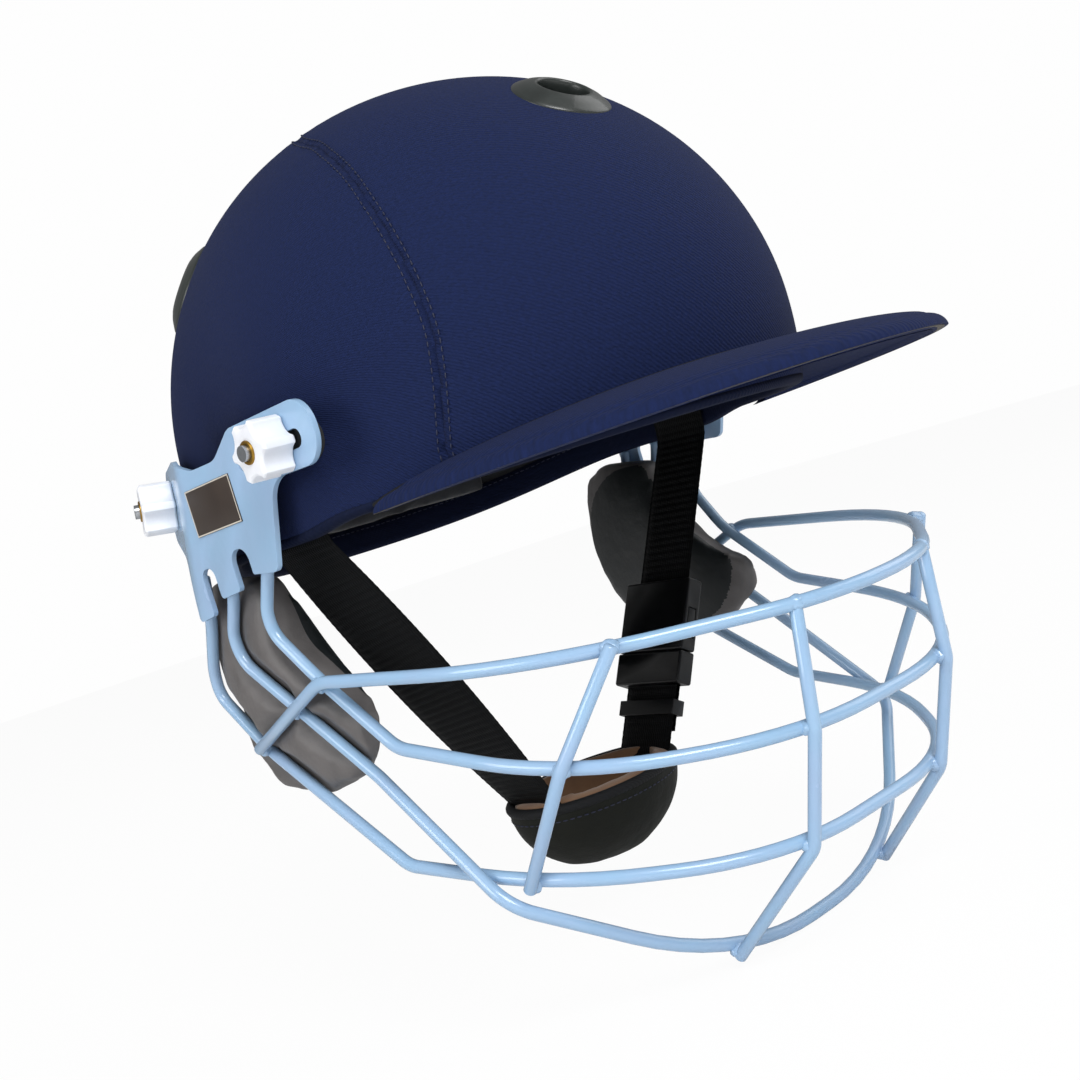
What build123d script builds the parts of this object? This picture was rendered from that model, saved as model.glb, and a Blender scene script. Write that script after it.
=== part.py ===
from build123d import *
import math
import os

# A traditional fabric covered cricket helmet with a welded wire face guard.
# Millimetres. +Z is up, the peak points to -Y and the wearer's left is +X.
# The origin is the centre of the head opening, on the level part of the rim.

# Shell: four quarter ellipsoids that share their widest section
shell_half_width = 107.0
brow_reach = 128.2
nape_reach = 112.9
crown_rise = 112.4
skirt_reach = 130.0
widest_y = 7.8
widest_z = 30.9
shell_wall = 4.0
cover_wall = 1.2

# Rim line, seen from the side
rim_brow_z = 2.0
rim_ear_z = -0.5
rim_nape_z = -9.0
rim_ear_front_y = -12.0
rim_ear_rear_y = 34.0
rim_binding_height = 2.0

# Peak
peak_half_width = 95.5
peak_reach = 142.0
peak_rise = 15.0
peak_root_y = -38.0
peak_edge_z = -1.5
peak_tilt = 1.4
peak_root_gap = 6.0
peak_board = 2.6
peak_binding_height = 1.8

# Seam of the front cover panel seen from the side, as shares of the shell's length and height
seam_shares = [(-0.27, -0.08), (-0.298, 0.068), (-0.315, 0.172), (-0.323, 0.252), (-0.3235, 0.325),
               (-0.312, 0.415), (-0.289, 0.514), (-0.25, 0.623), (-0.194, 0.734), (-0.112, 0.839),
               (-0.056, 0.884), (0.029, 0.946), (0.1, 0.98), (0.19, 1.0), (0.3, 1.02)]

# Vent eyelets
vent_bore = 17.0
vent_flange = 34.0
vent_barrel_wall = 1.6
vent_flange_height = 2.6
vent_roll_share = 0.8
vent_edge_drop = 0.2
vent_clip = 28.0
vent_clip_height = 1.6
front_vent_y = -82.0
rear_vent_x = 75.0
rear_vent_y = 53.0

# Foam lining
pad_thickness = 11.0
brow_band = 2.5
brow_pad_half_width = 72.0
brow_pad_low = 8.0
brow_pad_high = 50.0
brow_pad_rear_y = -52.0
nape_pad_half_width = 58.0
nape_pad_front_y = 66.0
nape_pad_low = 0.0
nape_pad_high = 46.0
temple_pad_front_y = -30.0
temple_pad_rear_y = 35.0
temple_pad_low = 44.0
temple_pad_high = 87.0
crown_pad_radius = 46.0

# Guard studs, their spacers and star knobs
stud_diameter = 5.0
stud_head = 12.0
stud_head_height = 2.2
stud_tip = 1.6
stud_washer = 16.0
stud_washer_height = 2.4
hole_clearance = 0.2
spacer_diameter = 15.0
front_stud_y = -32.0
rear_stud_y = 61.0
front_stud_z = 27.2
rear_stud_z = 24.5
knob_radius = 9.8
knob_lobes = 6
knob_hollow_radius = 5.2
knob_hollow_depth = 2.3
knob_height = 11.6
knob_edge = 0.7
insert_diameter = 7.4
insert_proud = 0.5
running_clearance = 0.05
face_clearance = 0.1

# Side plates; the outline's shares are of their length and height, its radii of the length
plate_thickness = 1.8
plate_stand_off = 2.0
plate_front_y = -52.0
plate_length = 131.0
plate_low_z = -18.0
plate_height = 57.0
plate_bend_y = 38.5
plate_bend_radius = 18.0
plate_bend_angle = 24.0
plate_bend_lean = 18.0
slot_width = 6.0
front_slot_lead = 12.2
front_slot_tail = 27.0
rear_slot_lead = 3.4
guard_travel = 7.0
plate_outline_shares = [
    (0.0, 0.993, 0.075), (0.0, 0.63, 0.07), (0.237, 0.642, 0.084), (0.33, 0.154, 0.027),
    (0.445, 0.182, 0.008), (0.445, 0.35, 0.038), (0.53, 0.35, 0.038), (0.53, 0.114, 0.012),
    (0.632, 0.1, 0.012), (0.632, 0.3, 0.029), (0.698, 0.3, 0.029), (0.698, 0.018, 0.015),
    (0.782, 0.0, 0.015), (0.775, 0.4, 0.046), (1.0, 0.56, 0.068), (1.0, 0.98, 0.068),
    (0.718, 0.985, 0.107), (0.595, 0.872, 0.107), (0.465, 0.868, 0.09), (0.36, 1.0, 0.068),
]
label_length = 30.6
label_height = 16.2
label_thickness = 0.4
label_front_y = 2.4
label_low_z = 9.8

# Face guard wires; the shares are of the guard's half width, reach and drop, and its bends' of the reach
bar_wire = 4.3
upright_wire = 4.1
weld_bite = 0.25
guard_reach = 148.0
guard_drop = 168.5
top_bar_shares = [(0.987, 0.318, -0.393, 0.0), (1.006, -0.043, -0.278, 1.0), (0.91, -0.645, -0.332, 1.0),
                  (0.239, -0.998, -0.372, 1.0)]
second_bar_shares = [(1.0, 0.0, -0.007, 0.0), (1.0, 0.03, -0.055, 0.2), (1.0, 0.1, -0.15, 0.08),
                     (0.968, -0.002, -0.272, 0.3), (0.954, -0.205, -0.431, 0.11),
                     (0.875, -0.616, -0.525, 1.0), (0.394, -0.919, -0.583, 1.0)]
third_bar_shares = [(1.0, 0.308, -0.02, 0.0), (1.0, 0.33, -0.1, 0.2), (0.965, 0.45, -0.215, 0.2),
                    (0.955, 0.468, -0.27, 0.08), (0.949, 0.318, -0.405, 0.3), (0.948, -0.108, -0.66, 0.1),
                    (0.856, -0.494, -0.723, 1.0), (0.423, -0.823, -0.787, 1.0)]
bottom_bar_shares = [(1.0, 0.175, -0.018, 0.0), (1.0, 0.2, -0.075, 0.2), (0.986, 0.302, -0.186, 0.08),
                     (0.941, -0.089, -0.484, 0.3), (0.936, -0.397, -0.742, 0.12), (0.393, -0.579, -1.0, 1.0)]
bend_share = 0.48
path_step = 0.01
outer_upright_xs = (77.5, 90.0, 92.4)
centre_upright_xs = (33.4, 34.8, 34.2, 39.2)
upright_stub = 1.5
upright_bend_radius = 9.0

# Cheek pads; the outline's shares are of its length and height, its radii of the length
cheek_length = 94.0
cheek_height = 76.0
cheek_front_y = -24.0
cheek_low_z = -87.0
cheek_inner_x = 88.5
cheek_outer_x = 104.0
cheek_edge = 3.0
cheek_crown_share = 0.62
cheek_outline_shares = [
    (0.4, 0.95, 0.06), (0.32, 0.66, 0.2), (0.14, 0.45, 0.2), (0.0, 0.33, 0.06), (0.04, 0.16, 0.06),
    (0.2, 0.06, 0.1), (0.46, 0.0, 0.15), (0.76, 0.06, 0.12), (0.92, 0.27, 0.12), (0.98, 0.58, 0.12),
    (0.9, 0.93, 0.06), (0.75, 1.0, 0.08),
]

# Chin strap; it hangs from its rivets and leans back with its cup
webbing_width = 27.0
webbing_thickness = 1.8
strap_anchor_y = -2.0
strap_anchor_z = 13.0
strap_tab_x = 96.0
strap_tab_top_z = 24.0
strap_tab_foot_z = -4.0
strap_foot_x = 26.5
strap_foot_z = -123.5
strap_lean = 3.5
strap_bend_radius = 14.0
rivet_diameter = 5.0
rivet_head = 12.0
rivet_head_height = 1.4

# Chin cup
cup_half_length = 38.0
cup_half_width = 26.0
cup_depth = 30.0
cup_top_z = -119.0
cup_panel = 2.0
cup_lining = 7.0
cup_lining_rise = 2.5

# Side release buckle, measured along the strap from the bend below the rim
buckle_start = 64.0
buckle_width = 35.0
buckle_thickness = 8.0
buckle_wall = 1.7
socket_length = 29.0
plug_length = 13.0
prong_length = 22.0
prong_width = 4.4
prong_hook = 1.9
guide_width = 4.0
window_start = 5.0
window_length = 12.0
buckle_gap = 0.3
webbing_tuck = 5.0
buckle_edge = 1.0
tail_length = 23.0
keeper_start = 6.0
keeper_length = 6.0
keeper_wall = 1.3

overrun = 60.0
halvings = 30
folder = "parts"
sides = {"right": -1, "left": 1}

plate_inner_x = shell_half_width + cover_wall + plate_stand_off
plate_outer_x = plate_inner_x + plate_thickness
guard_half_width = plate_inner_x - bar_wire / 2 + weld_bite
shell_length = brow_reach + nape_reach
field = 2 * shell_length


def block(x_low, x_high, y_low, y_high, z_low, z_high):
    """A box between two corners."""
    size = (x_high - x_low, y_high - y_low, z_high - z_low)
    middle = ((x_low + x_high) / 2, (y_low + y_high) / 2, (z_low + z_high) / 2)
    return Pos(*middle) * Box(*size)


def dome(offset):
    """The solid inside the shell's outer surface moved outwards by offset."""
    quarters = []
    for reach, way in ((brow_reach, -1), (nape_reach, 1)):
        for rise, level in ((crown_rise, 1), (skirt_reach, -1)):
            radii = (shell_half_width + offset, reach + offset, rise + offset)
            edge = [ThreePointArc((1, 0), (0, way), (-1, 0)), Line((-1, 0), (1, 0))]
            wedge = revolve(make_face(edge), Axis((0, 0, 0), (way * level, 0, 0)), 90)
            quarters.append(scale(wedge, by=radii))
    return Pos(0, widest_y, widest_z) * (quarters[0] + quarters[1:])


def section_share(y, z, offset):
    """How far the dome has drawn in at a height and a place along it, squared."""
    reach = (brow_reach if y < widest_y else nape_reach) + offset
    rise = (crown_rise if z > widest_z else skirt_reach) + offset
    return ((y - widest_y) / reach) ** 2 + ((z - widest_z) / rise) ** 2


def dome_z(x, y, offset=0.0):
    """Height of the dome over a place seen from above."""
    across = (x / (shell_half_width + offset)) ** 2
    along = section_share(y, widest_z, offset)
    return widest_z + (crown_rise + offset) * math.sqrt(1 - across - along)


def outward(x, y, z):
    """Unit vector square to the dome at one of its points."""
    reach = brow_reach if y < widest_y else nape_reach
    rise = crown_rise if z > widest_z else skirt_reach
    slope = Vector(x / shell_half_width ** 2, (y - widest_y) / reach ** 2, (z - widest_z) / rise ** 2)
    return slope.normalized()


def above_rim(drop):
    """The space over the rim line, with that line moved down by drop."""
    front_y = -field
    rear_y = widest_y + nape_reach
    brow = (peak_root_y, rim_brow_z - drop)
    ear_front = (rim_ear_front_y, rim_ear_z - drop)
    ear_rear = (rim_ear_rear_y, rim_ear_z - drop)
    nape = (rear_y, rim_nape_z - drop)
    line = [
        Line((front_y, rim_brow_z - drop), brow),
        Spline(brow, ear_front, tangents=((1, 0), (1, 0))),
        Line(ear_front, ear_rear),
        Spline(ear_rear, nape, tangents=((1, 0), (1, 0))),
        Line(nape, (field, rim_nape_z - drop)),
        Line((field, rim_nape_z - drop), (field, field)),
        Line((field, field), (front_y, field)),
        Line((front_y, field), (front_y, rim_brow_z - drop)),
    ]
    return extrude(Plane.YZ * make_face(line), field, both=True)


def front_of_seam():
    """The space in front of the cover's seam, which is drawn from the side."""
    height = widest_z + crown_rise
    points = [(along * shell_length, up * height) for along, up in seam_shares]
    start = points[0]
    end = points[-1]
    line = [
        Spline(*points),
        Line(end, (end[0], field)),
        Line((end[0], field), (-field, field)),
        Line((-field, field), (-field, start[1])),
        Line((-field, start[1]), start),
    ]
    return extrude(Plane.YZ * make_face(line), field, both=True)


def peak_dish(offset):
    """The solid inside the peak's upper surface moved outwards by offset."""
    radii = (peak_half_width + offset, peak_reach + offset, peak_rise + offset)
    return peak_frame * scale(Sphere(1), by=radii)


def rounded_outline(corners):
    """A closed face from corners of (x, y, radius)."""
    points = [(x, y) for x, y, radius in corners]
    radii = [radius for x, y, radius in corners]
    return make_face(FilletPolyline(*points, radius=radii, close=True))


def bent_path(points, largest):
    """Straight runs joined by arcs of the radii given for the points, or as large as the runs allow."""
    spots = [Vector(*point) for point in points]
    radii = []
    for index in range(1, len(spots) - 1):
        before = spots[index - 1] - spots[index]
        after = spots[index + 1] - spots[index]
        turn = math.radians(180 - before.get_angle(after))
        fitting = bend_share * min(before.length, after.length) / math.tan(turn / 2)
        radii.append(min(fitting, largest[index]))
    return FilletPolyline(*spots, radius=radii)


def wire(path, diameter):
    """A round wire along a path."""
    start = Plane(origin=path @ 0, z_dir=path % 0)
    return sweep(start * Circle(diameter / 2), path=path)


def point_at_x(path, x):
    """The place along a bar, and the point there, at one x on the left of the guard."""
    high = 0.5
    while (path @ high).X < x:
        high += path_step
    low = high - path_step
    for halving in range(halvings):
        middle = (low + high) / 2
        if (path @ middle).X < x:
            low = middle
        else:
            high = middle
    return low, path @ low


def outside(path, x, along, gap):
    """A point at a gap outside a bar, square to the bar and to the wire that crosses it."""
    place, point = point_at_x(path, x)
    away = (path % place).cross(along).normalized()
    if away.dot(Vector(point.X, point.Y, 0)) < 0:
        away = -away
    return point + away * gap


def rod(point, direction, start, end, diameter):
    """A cylinder along a direction, from one distance to another past a point."""
    plane = Plane(origin=Vector(*point) + Vector(*direction) * start, z_dir=direction)
    return extrude(plane * Circle(diameter / 2), end - start)


def surface_depth(point, direction, offset):
    """Distance from a point outside the dome, back along a direction, to the offset dome."""
    near = 0.0
    far = shell_half_width
    for halving in range(halvings):
        middle = (near + far) / 2
        spot = Vector(*point) - Vector(*direction) * middle
        across = (spot.X / (shell_half_width + offset)) ** 2
        if across + section_share(spot.Y, spot.Z, offset) > 1:
            near = middle
        else:
            far = middle
    return near


def mirrored(shape, way):
    """The shape on the left for way 1, or its mirror image on the right for way -1."""
    return shape if way > 0 else mirror(shape, about=Plane.YZ)


def save(name, shape):
    """Write one sub-part."""
    shape.label = name
    export_step(shape, os.path.join(folder, name + ".step"))


os.makedirs(folder, exist_ok=True)

# Layers of the helmet, from the cover inwards
outer_face = dome(cover_wall)
shell_face = dome(0)
inner_face = dome(-shell_wall)
pad_face = dome(-shell_wall - pad_thickness)
over_rim = above_rim(0)
over_binding = above_rim(rim_binding_height)

# Axes of the four guard studs and the two strap rivets, on the left side
bend = math.radians(plate_bend_angle)
lean = math.radians(plate_bend_lean)
bend_line = Vector(0, math.sin(lean), -math.cos(lean))
bend_side = Vector(0, math.cos(lean), math.sin(lean))
arm_normal = Vector(1, 0, 0) * math.cos(bend) + bend_side * math.sin(bend)
arm_reach = (rear_stud_y - plate_bend_y) * math.cos(lean) - plate_thickness / 2 * math.tan(bend / 2)
stud_faces = {
    "front": (Vector(plate_outer_x, front_stud_y, front_stud_z), Vector(1, 0, 0)),
    "rear": (Vector(plate_outer_x - arm_reach * math.tan(bend), rear_stud_y, rear_stud_z), arm_normal),
}
rivet_face = Vector(plate_inner_x, strap_anchor_y, strap_anchor_z)
rivet_axis = Vector(1, 0, 0)

stud_hole = stud_diameter + 2 * hole_clearance
rivet_hole = rivet_diameter + 2 * hole_clearance
holes = []
for face, normal in stud_faces.values():
    holes.append(rod(face, normal, -overrun, overrun, stud_hole))
holes.append(rod(rivet_face, rivet_axis, -overrun, overrun, rivet_hole))
holes = [mirrored(hole, way) for hole in holes for way in sides.values()]

# Vent eyelets and the rings that hold them inside
vents = {
    "front_vent": (0.0, front_vent_y),
    "rear_right_vent": (-rear_vent_x, rear_vent_y),
    "rear_left_vent": (rear_vent_x, rear_vent_y),
}
vent_barrel = vent_bore + 2 * vent_barrel_wall
vent_depth = shell_wall + 2 * vent_clip_height
vent_clips = []
for name, (x, y) in vents.items():
    z = dome_z(x, y, cover_wall)
    seat = Plane(origin=(x, y, z), z_dir=outward(x, y, z))
    profile = [
        Line((vent_bore / 2, -vent_depth), (vent_bore / 2, vent_flange_height)),
        ThreePointArc((vent_bore / 2, vent_flange_height),
                      ((vent_bore + vent_flange) / 4, vent_flange_height * vent_roll_share),
                      (vent_flange / 2, -vent_edge_drop)),
        Line((vent_flange / 2, -vent_edge_drop), (vent_flange / 2, -vent_clip_height * 2)),
        Line((vent_flange / 2, -vent_clip_height * 2), (vent_barrel / 2, -vent_clip_height * 2)),
        Line((vent_barrel / 2, -vent_clip_height * 2), (vent_barrel / 2, -vent_depth)),
        Line((vent_barrel / 2, -vent_depth), (vent_bore / 2, -vent_depth)),
    ]
    turned = seat * revolve(Plane.XZ * make_face(profile), Axis.Z)
    barrel = seat * Cylinder(vent_barrel / 2, 2 * vent_depth)
    save(name, turned - (outer_face - barrel))
    ring = seat * Cylinder(vent_clip / 2, 4 * vent_depth)
    vent_clips.append((ring & (inner_face - dome(-shell_wall - vent_clip_height))) - barrel)
    holes.append(barrel)
save("vent_retainers", Compound(vent_clips))

# Shell, cover and binding
covering = ((outer_face - shell_face) & over_rim) - holes
front_zone = front_of_seam()
save("shell", ((shell_face - inner_face) & over_rim) - holes)
save("front_cover_panel", covering & front_zone)
save("rear_cover_panel", covering - front_zone)
save("rim_binding", (outer_face - inner_face) & (over_binding - over_rim))

# Peak: a board between two cloths, bound round its edge
peak_frame = Pos(0, peak_root_y, peak_edge_z) * Rot(-peak_tilt, 0, 0)
peak_zone = peak_frame * block(-field, field, -field, -peak_root_gap, 0, field) - outer_face
upper_cloth = peak_dish(cover_wall)
board_top = peak_dish(0)
board_foot = peak_dish(-peak_board)
lower_cloth = peak_dish(-peak_board - cover_wall)
save("peak_board", (board_top - board_foot) & peak_zone)
save("peak_top_cover", (upper_cloth - board_top) & peak_zone)
save("peak_under_cover", (board_foot - lower_cloth) & peak_zone)
edge_outer = Ellipse(peak_half_width + cover_wall, peak_reach + cover_wall)
edge_inner = Ellipse(peak_half_width - peak_board - cover_wall, peak_reach - peak_board - cover_wall)
edge_strip = peak_frame * extrude(edge_outer - edge_inner, -peak_binding_height)
edge_zone = peak_frame * block(-field, field, -field, -peak_root_gap, -field, field) - outer_face
save("peak_binding", edge_strip & edge_zone)

# Foam lining
lining = inner_face - pad_face
brow_zone = block(-brow_pad_half_width, brow_pad_half_width, -field, brow_pad_rear_y, brow_pad_low, brow_pad_high)
save("front_pad", lining & brow_zone)
save("sweatband", (pad_face - dome(-shell_wall - pad_thickness - brow_band)) & brow_zone)
save("rear_pad", lining & block(-nape_pad_half_width, nape_pad_half_width, nape_pad_front_y, field,
                                nape_pad_low, nape_pad_high))
save("crown_pad", lining & Pos(0, 0, field / 2) * Cylinder(crown_pad_radius, field))
temple_pad = lining & block(0, field, temple_pad_front_y, temple_pad_rear_y, temple_pad_low, temple_pad_high)
for side, way in sides.items():
    save("side_pad_" + side, mirrored(temple_pad, way))

# Guard studs with washers inside the shell and spacers outside it
studs = []
washers = []
spacers = []
for face, normal in stud_faces.values():
    inside = surface_depth(face, normal, -shell_wall)
    seat = inside + stud_washer_height
    tip = face_clearance + knob_height + insert_proud + stud_tip
    shank = rod(face, normal, -seat, tip, stud_diameter)
    studs.append(shank + rod(face, normal, -seat - stud_head_height, -seat, stud_head))
    bore = rod(face, normal, -overrun, overrun, stud_hole)
    washers.append((rod(face, normal, -seat, 0, stud_washer) & inner_face) - bore)
    slack = plate_thickness + guard_travel * normal.Y + face_clearance
    spacers.append(rod(face, normal, -inside, -slack, spacer_diameter) - outer_face - bore)
for name, group in (("guard_screws", studs), ("shell_washers", washers), ("rubber_washers", spacers)):
    both = [mirrored(shape, way) for shape in group for way in sides.values()]
    save(name, Compound(both))

# Star knobs with threaded brass inserts
corners = []
for lobe in range(knob_lobes):
    turn = 360 * lobe / knob_lobes
    hollow = Rot(0, 0, turn) * Pos(knob_radius + knob_hollow_radius - knob_hollow_depth, 0)
    corners.append(hollow * Circle(knob_hollow_radius))
star = Circle(knob_radius) - corners
knob_body = extrude(star, knob_height)
rims = knob_body.faces().sort_by(Axis.Z)[0].edges() + knob_body.faces().sort_by(Axis.Z)[-1].edges()
knob_body = chamfer(rims, knob_edge)
knob_body = knob_body - Pos(0, 0, knob_height / 2) * Cylinder(insert_diameter / 2, knob_height)
insert_length = knob_height + insert_proud
insert_body = Pos(0, 0, insert_length / 2) * Cylinder(insert_diameter / 2, insert_length)
insert_body = insert_body - Pos(0, 0, insert_length / 2) * Cylinder(stud_diameter / 2 + running_clearance, insert_length)
for place, (face, normal) in stud_faces.items():
    knob_seat = Plane(origin=face + normal * face_clearance, x_dir=(0, 0, 1), z_dir=normal)
    for side, way in sides.items():
        save("star_knob_" + place + "_" + side, mirrored(knob_seat * knob_body, way))
        save("knob_insert_" + place + "_" + side, mirrored(knob_seat * insert_body, way))

# Side plates: bent sheet cut to its outline, with a slot over each stud
middle = Vector(plate_outer_x - plate_thickness / 2, plate_bend_y, rear_stud_z)
bend_plane = Plane(origin=middle, x_dir=bend_side, z_dir=bend_line)
far = 2 * plate_length
profile = FilletPolyline((-far, 0), (0, 0), (far * math.cos(bend), -far * math.sin(bend)),
                         radius=plate_bend_radius)
sheet = bend_plane * extrude(trace(profile, plate_thickness), plate_length, both=True)
corners = []
for y_share, z_share, radius_share in plate_outline_shares:
    corners.append((plate_front_y + y_share * plate_length, plate_low_z + z_share * plate_height,
                    radius_share * plate_length))
outline = rounded_outline(corners)
for y, z, lead, tail in ((front_stud_y, front_stud_z, front_slot_lead, front_slot_tail),
                         (rear_stud_y, rear_stud_z, rear_slot_lead, rear_slot_lead + guard_travel)):
    outline = outline - Pos(y + (tail - lead) / 2, z) * SlotOverall(lead + tail, slot_width)
plate = sheet & extrude(Plane.YZ * outline, field)
plates = {}
for side, way in sides.items():
    plates[side] = mirrored(plate, way)
    save("side_plate_" + side, plates[side])
    label = block(plate_outer_x, plate_outer_x + label_thickness, label_front_y, label_front_y + label_length,
                  label_low_z, label_low_z + label_height)
    save("label_" + side, mirrored(label, way))

# Bars of the face guard, welded behind the plates' fingers; the top bar's tails cross the others
bar_shares = {
    "top_bar": top_bar_shares,
    "second_bar": second_bar_shares,
    "third_bar": third_bar_shares,
    "bottom_bar": bottom_bar_shares,
}
bar_paths = {}
for name, shares in bar_shares.items():
    half = [(x * guard_half_width, y * guard_reach, z * guard_drop) for x, y, z, radius in shares]
    radii = [radius * guard_reach for x, y, z, radius in shares]
    bar_paths[name] = bent_path([(-x, y, z) for x, y, z in half] + half[::-1], radii + radii[::-1])
bars = {}
for name in ("second_bar", "third_bar", "bottom_bar"):
    bars[name] = wire(bar_paths[name], bar_wire) - list(plates.values()) - list(bars.values())
    save(name, bars[name])
bars["top_bar"] = wire(bar_paths["top_bar"], bar_wire) - list(bars.values())
save("top_bar", bars["top_bar"])

# Uprights, bent to lie against the outside of the bars they cross
names = ["top_bar", "second_bar", "third_bar", "bottom_bar"]
for kind, stations, butts in (("centre_upright", centre_upright_xs, True),
                              ("outer_upright", outer_upright_xs, False)):
    spots = [point_at_x(bar_paths[name], x)[1] for name, x in zip(names, stations)]
    gap = (bar_wire + upright_wire) / 2 - weld_bite
    points = []
    for index, (name, x) in enumerate(zip(names, stations)):
        along = spots[min(index + 1, len(spots) - 1)] - spots[max(index - 1, 0)]
        points.append(outside(bar_paths[name], x, along, gap))
    points[-1] = points[-1] + (points[-1] - points[-2]).normalized() * upright_stub
    if butts:
        points[0] = spots[0]
    else:
        points[0] = points[0] + (points[0] - points[1]).normalized() * upright_stub
    radii = [upright_bend_radius] * len(points)
    body = wire(bent_path(points, radii), upright_wire) - list(bars.values())
    for side, way in sides.items():
        save(kind + "_" + side, mirrored(body, way))

# Cheek pads, moulded round the bars
corners = []
for y_share, z_share, radius_share in cheek_outline_shares:
    corners.append((cheek_front_y + y_share * cheek_length, cheek_low_z + z_share * cheek_height,
                    radius_share * cheek_length))
cheek_depth = cheek_outer_x - cheek_inner_x
cheek = Pos(cheek_inner_x, 0, 0) * extrude(Plane.YZ * rounded_outline(corners), cheek_depth)
cheek = fillet(cheek.faces().sort_by(Axis.X)[-1].edges(), cheek_edge)
crown_radii = (cheek_depth, cheek_length * cheek_crown_share, cheek_height * cheek_crown_share)
crown_middle = (cheek_outer_x, cheek_front_y + cheek_length / 2, cheek_low_z + cheek_height / 2)
cheek = cheek & Pos(*crown_middle) * scale(Sphere(1), by=crown_radii)
cheek = cheek - list(bars.values()) - plates["left"]
for side, way in sides.items():
    save("cheek_pad_" + side, mirrored(cheek, way))

# Chin strap, drawn in the plane of the rivets and then leaned back with its cup
strap_run = Vector(strap_foot_x - strap_tab_x, 0, strap_foot_z - strap_tab_foot_z)
strap_length = strap_run.length
run_x = strap_run.normalized()
run_z = Vector(-run_x.Z, 0, run_x.X)
run_plane = Plane(origin=(strap_tab_x, 0, strap_tab_foot_z), x_dir=run_x, z_dir=run_z)
lean_back = Pos(0, strap_anchor_y, strap_anchor_z) * Rot(strap_lean, 0, 0) * Pos(0, 0, -strap_anchor_z)


def run_block(start, end, width, low, high):
    """A block on the straight run of the strap, between two distances and two heights over its middle."""
    return run_plane * block(start, end, -width / 2, width / 2, low, high)


def hung_strap(end):
    """Webbing from its tab inside the shell to a distance along the run."""
    points = [(strap_tab_x, strap_tab_top_z), (strap_tab_x, strap_tab_foot_z),
              (strap_tab_x + run_x.X * end, strap_tab_foot_z + run_x.Z * end)]
    line = FilletPolyline(*points, radius=strap_bend_radius)
    return extrude(Plane.XZ * trace(line, webbing_thickness), webbing_width / 2, both=True)


half_web = webbing_thickness / 2
half_buckle = buckle_thickness / 2
socket_end = buckle_start + socket_length
plug_start = socket_end + buckle_gap
plug_end = plug_start + plug_length
pivot_bore = Pos(0, 0, strap_anchor_z) * Rot(0, 90, 0) * Cylinder(rivet_diameter / 2 + running_clearance, field)
upper_web = hung_strap(buckle_start + webbing_tuck) - pivot_bore
right_web = mirrored(hung_strap(strap_length) - pivot_bore, -1)
lower_web = run_block(plug_end - webbing_tuck, strap_length, webbing_width, -half_web, half_web)
save("strap_right", lean_back * right_web)
save("strap_left_upper", lean_back * upper_web)
save("strap_left_lower", lean_back * lower_web)

# Side release buckle
cavity_width = buckle_width - 2 * buckle_wall
cavity_height = half_buckle - buckle_wall
socket = fillet(run_block(buckle_start, socket_end, buckle_width, -half_buckle, half_buckle).edges(), buckle_edge)
cavity_start = buckle_start + webbing_tuck + buckle_wall
window_end = cavity_start + window_start + window_length
socket = socket - [
    run_block(cavity_start, socket_end, cavity_width, -cavity_height, cavity_height),
    run_block(cavity_start + window_start, window_end, 2 * buckle_width, -cavity_height, cavity_height),
    run_block(buckle_start, buckle_start + webbing_tuck, webbing_width, -half_web, half_web),
]
plug = fillet(run_block(plug_start, plug_end, buckle_width, -half_buckle, half_buckle).edges(), buckle_edge)
prong_height = cavity_height - buckle_gap
prong_start = plug_start - prong_length
plug = plug + run_block(prong_start, plug_start + buckle_edge, guide_width, -prong_height, prong_height)
for way in sides.values():
    outer = cavity_width / 2 - buckle_gap
    prong = block(prong_start, plug_start + buckle_edge, outer - prong_width, outer, -prong_height, prong_height)
    hook = block(prong_start, prong_start + window_length - 2 * buckle_gap, outer - prong_width,
                 outer + prong_hook, -prong_height, prong_height)
    hook = hook & block(cavity_start + window_start + buckle_gap, window_end - buckle_gap, 0, field, -field, field)
    pair = prong + hook
    plug = plug + run_plane * (pair if way > 0 else mirror(pair, about=Plane.XZ))
plug = plug - run_block(plug_end - webbing_tuck, plug_end, webbing_width, -half_web, half_web)
tail_low = half_web
plug = plug - run_block(plug_end - webbing_tuck, plug_end, webbing_width, tail_low, tail_low + webbing_thickness)
tail_start = plug_end - webbing_tuck
tail = run_block(tail_start, tail_start + tail_length, webbing_width, tail_low, tail_low + webbing_thickness)
keeper_from = plug_end + keeper_start
stack_high = tail_low + webbing_thickness
keeper = run_block(keeper_from, keeper_from + keeper_length, webbing_width + 2 * keeper_wall,
                   -half_web - keeper_wall, stack_high + keeper_wall)
keeper = keeper - run_block(keeper_from, keeper_from + keeper_length, webbing_width, -half_web, stack_high)
save("buckle_socket", lean_back * socket)
save("buckle_plug", lean_back * plug)
save("strap_tail", lean_back * tail)
save("strap_keeper", lean_back * keeper)

# Rivets through tab, washer, shell and cover
rivets = []
rivet_washers = []
for way in sides.values():
    inside = surface_depth(rivet_face, rivet_axis, -shell_wall)
    tab_face = plate_inner_x - strap_tab_x - half_web - face_clearance
    tab_back = tab_face + webbing_thickness + 2 * face_clearance
    shank = rod(rivet_face, rivet_axis, -tab_back - rivet_head_height, 0, rivet_diameter)
    foot = rod(rivet_face, rivet_axis, -tab_back - rivet_head_height, -tab_back, rivet_head)
    head = rod(rivet_face, rivet_axis, -inside, 0, rivet_head) - outer_face
    rivets.append(mirrored(((shank + head) & dome(cover_wall + rivet_head_height)) + foot, way))
    washer = (rod(rivet_face, rivet_axis, -tab_face, 0, rivet_head) & inner_face)
    rivet_washers.append(mirrored(washer - rod(rivet_face, rivet_axis, -overrun, overrun, rivet_hole), way))
save("strap_rivets", Compound(rivets))
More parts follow.
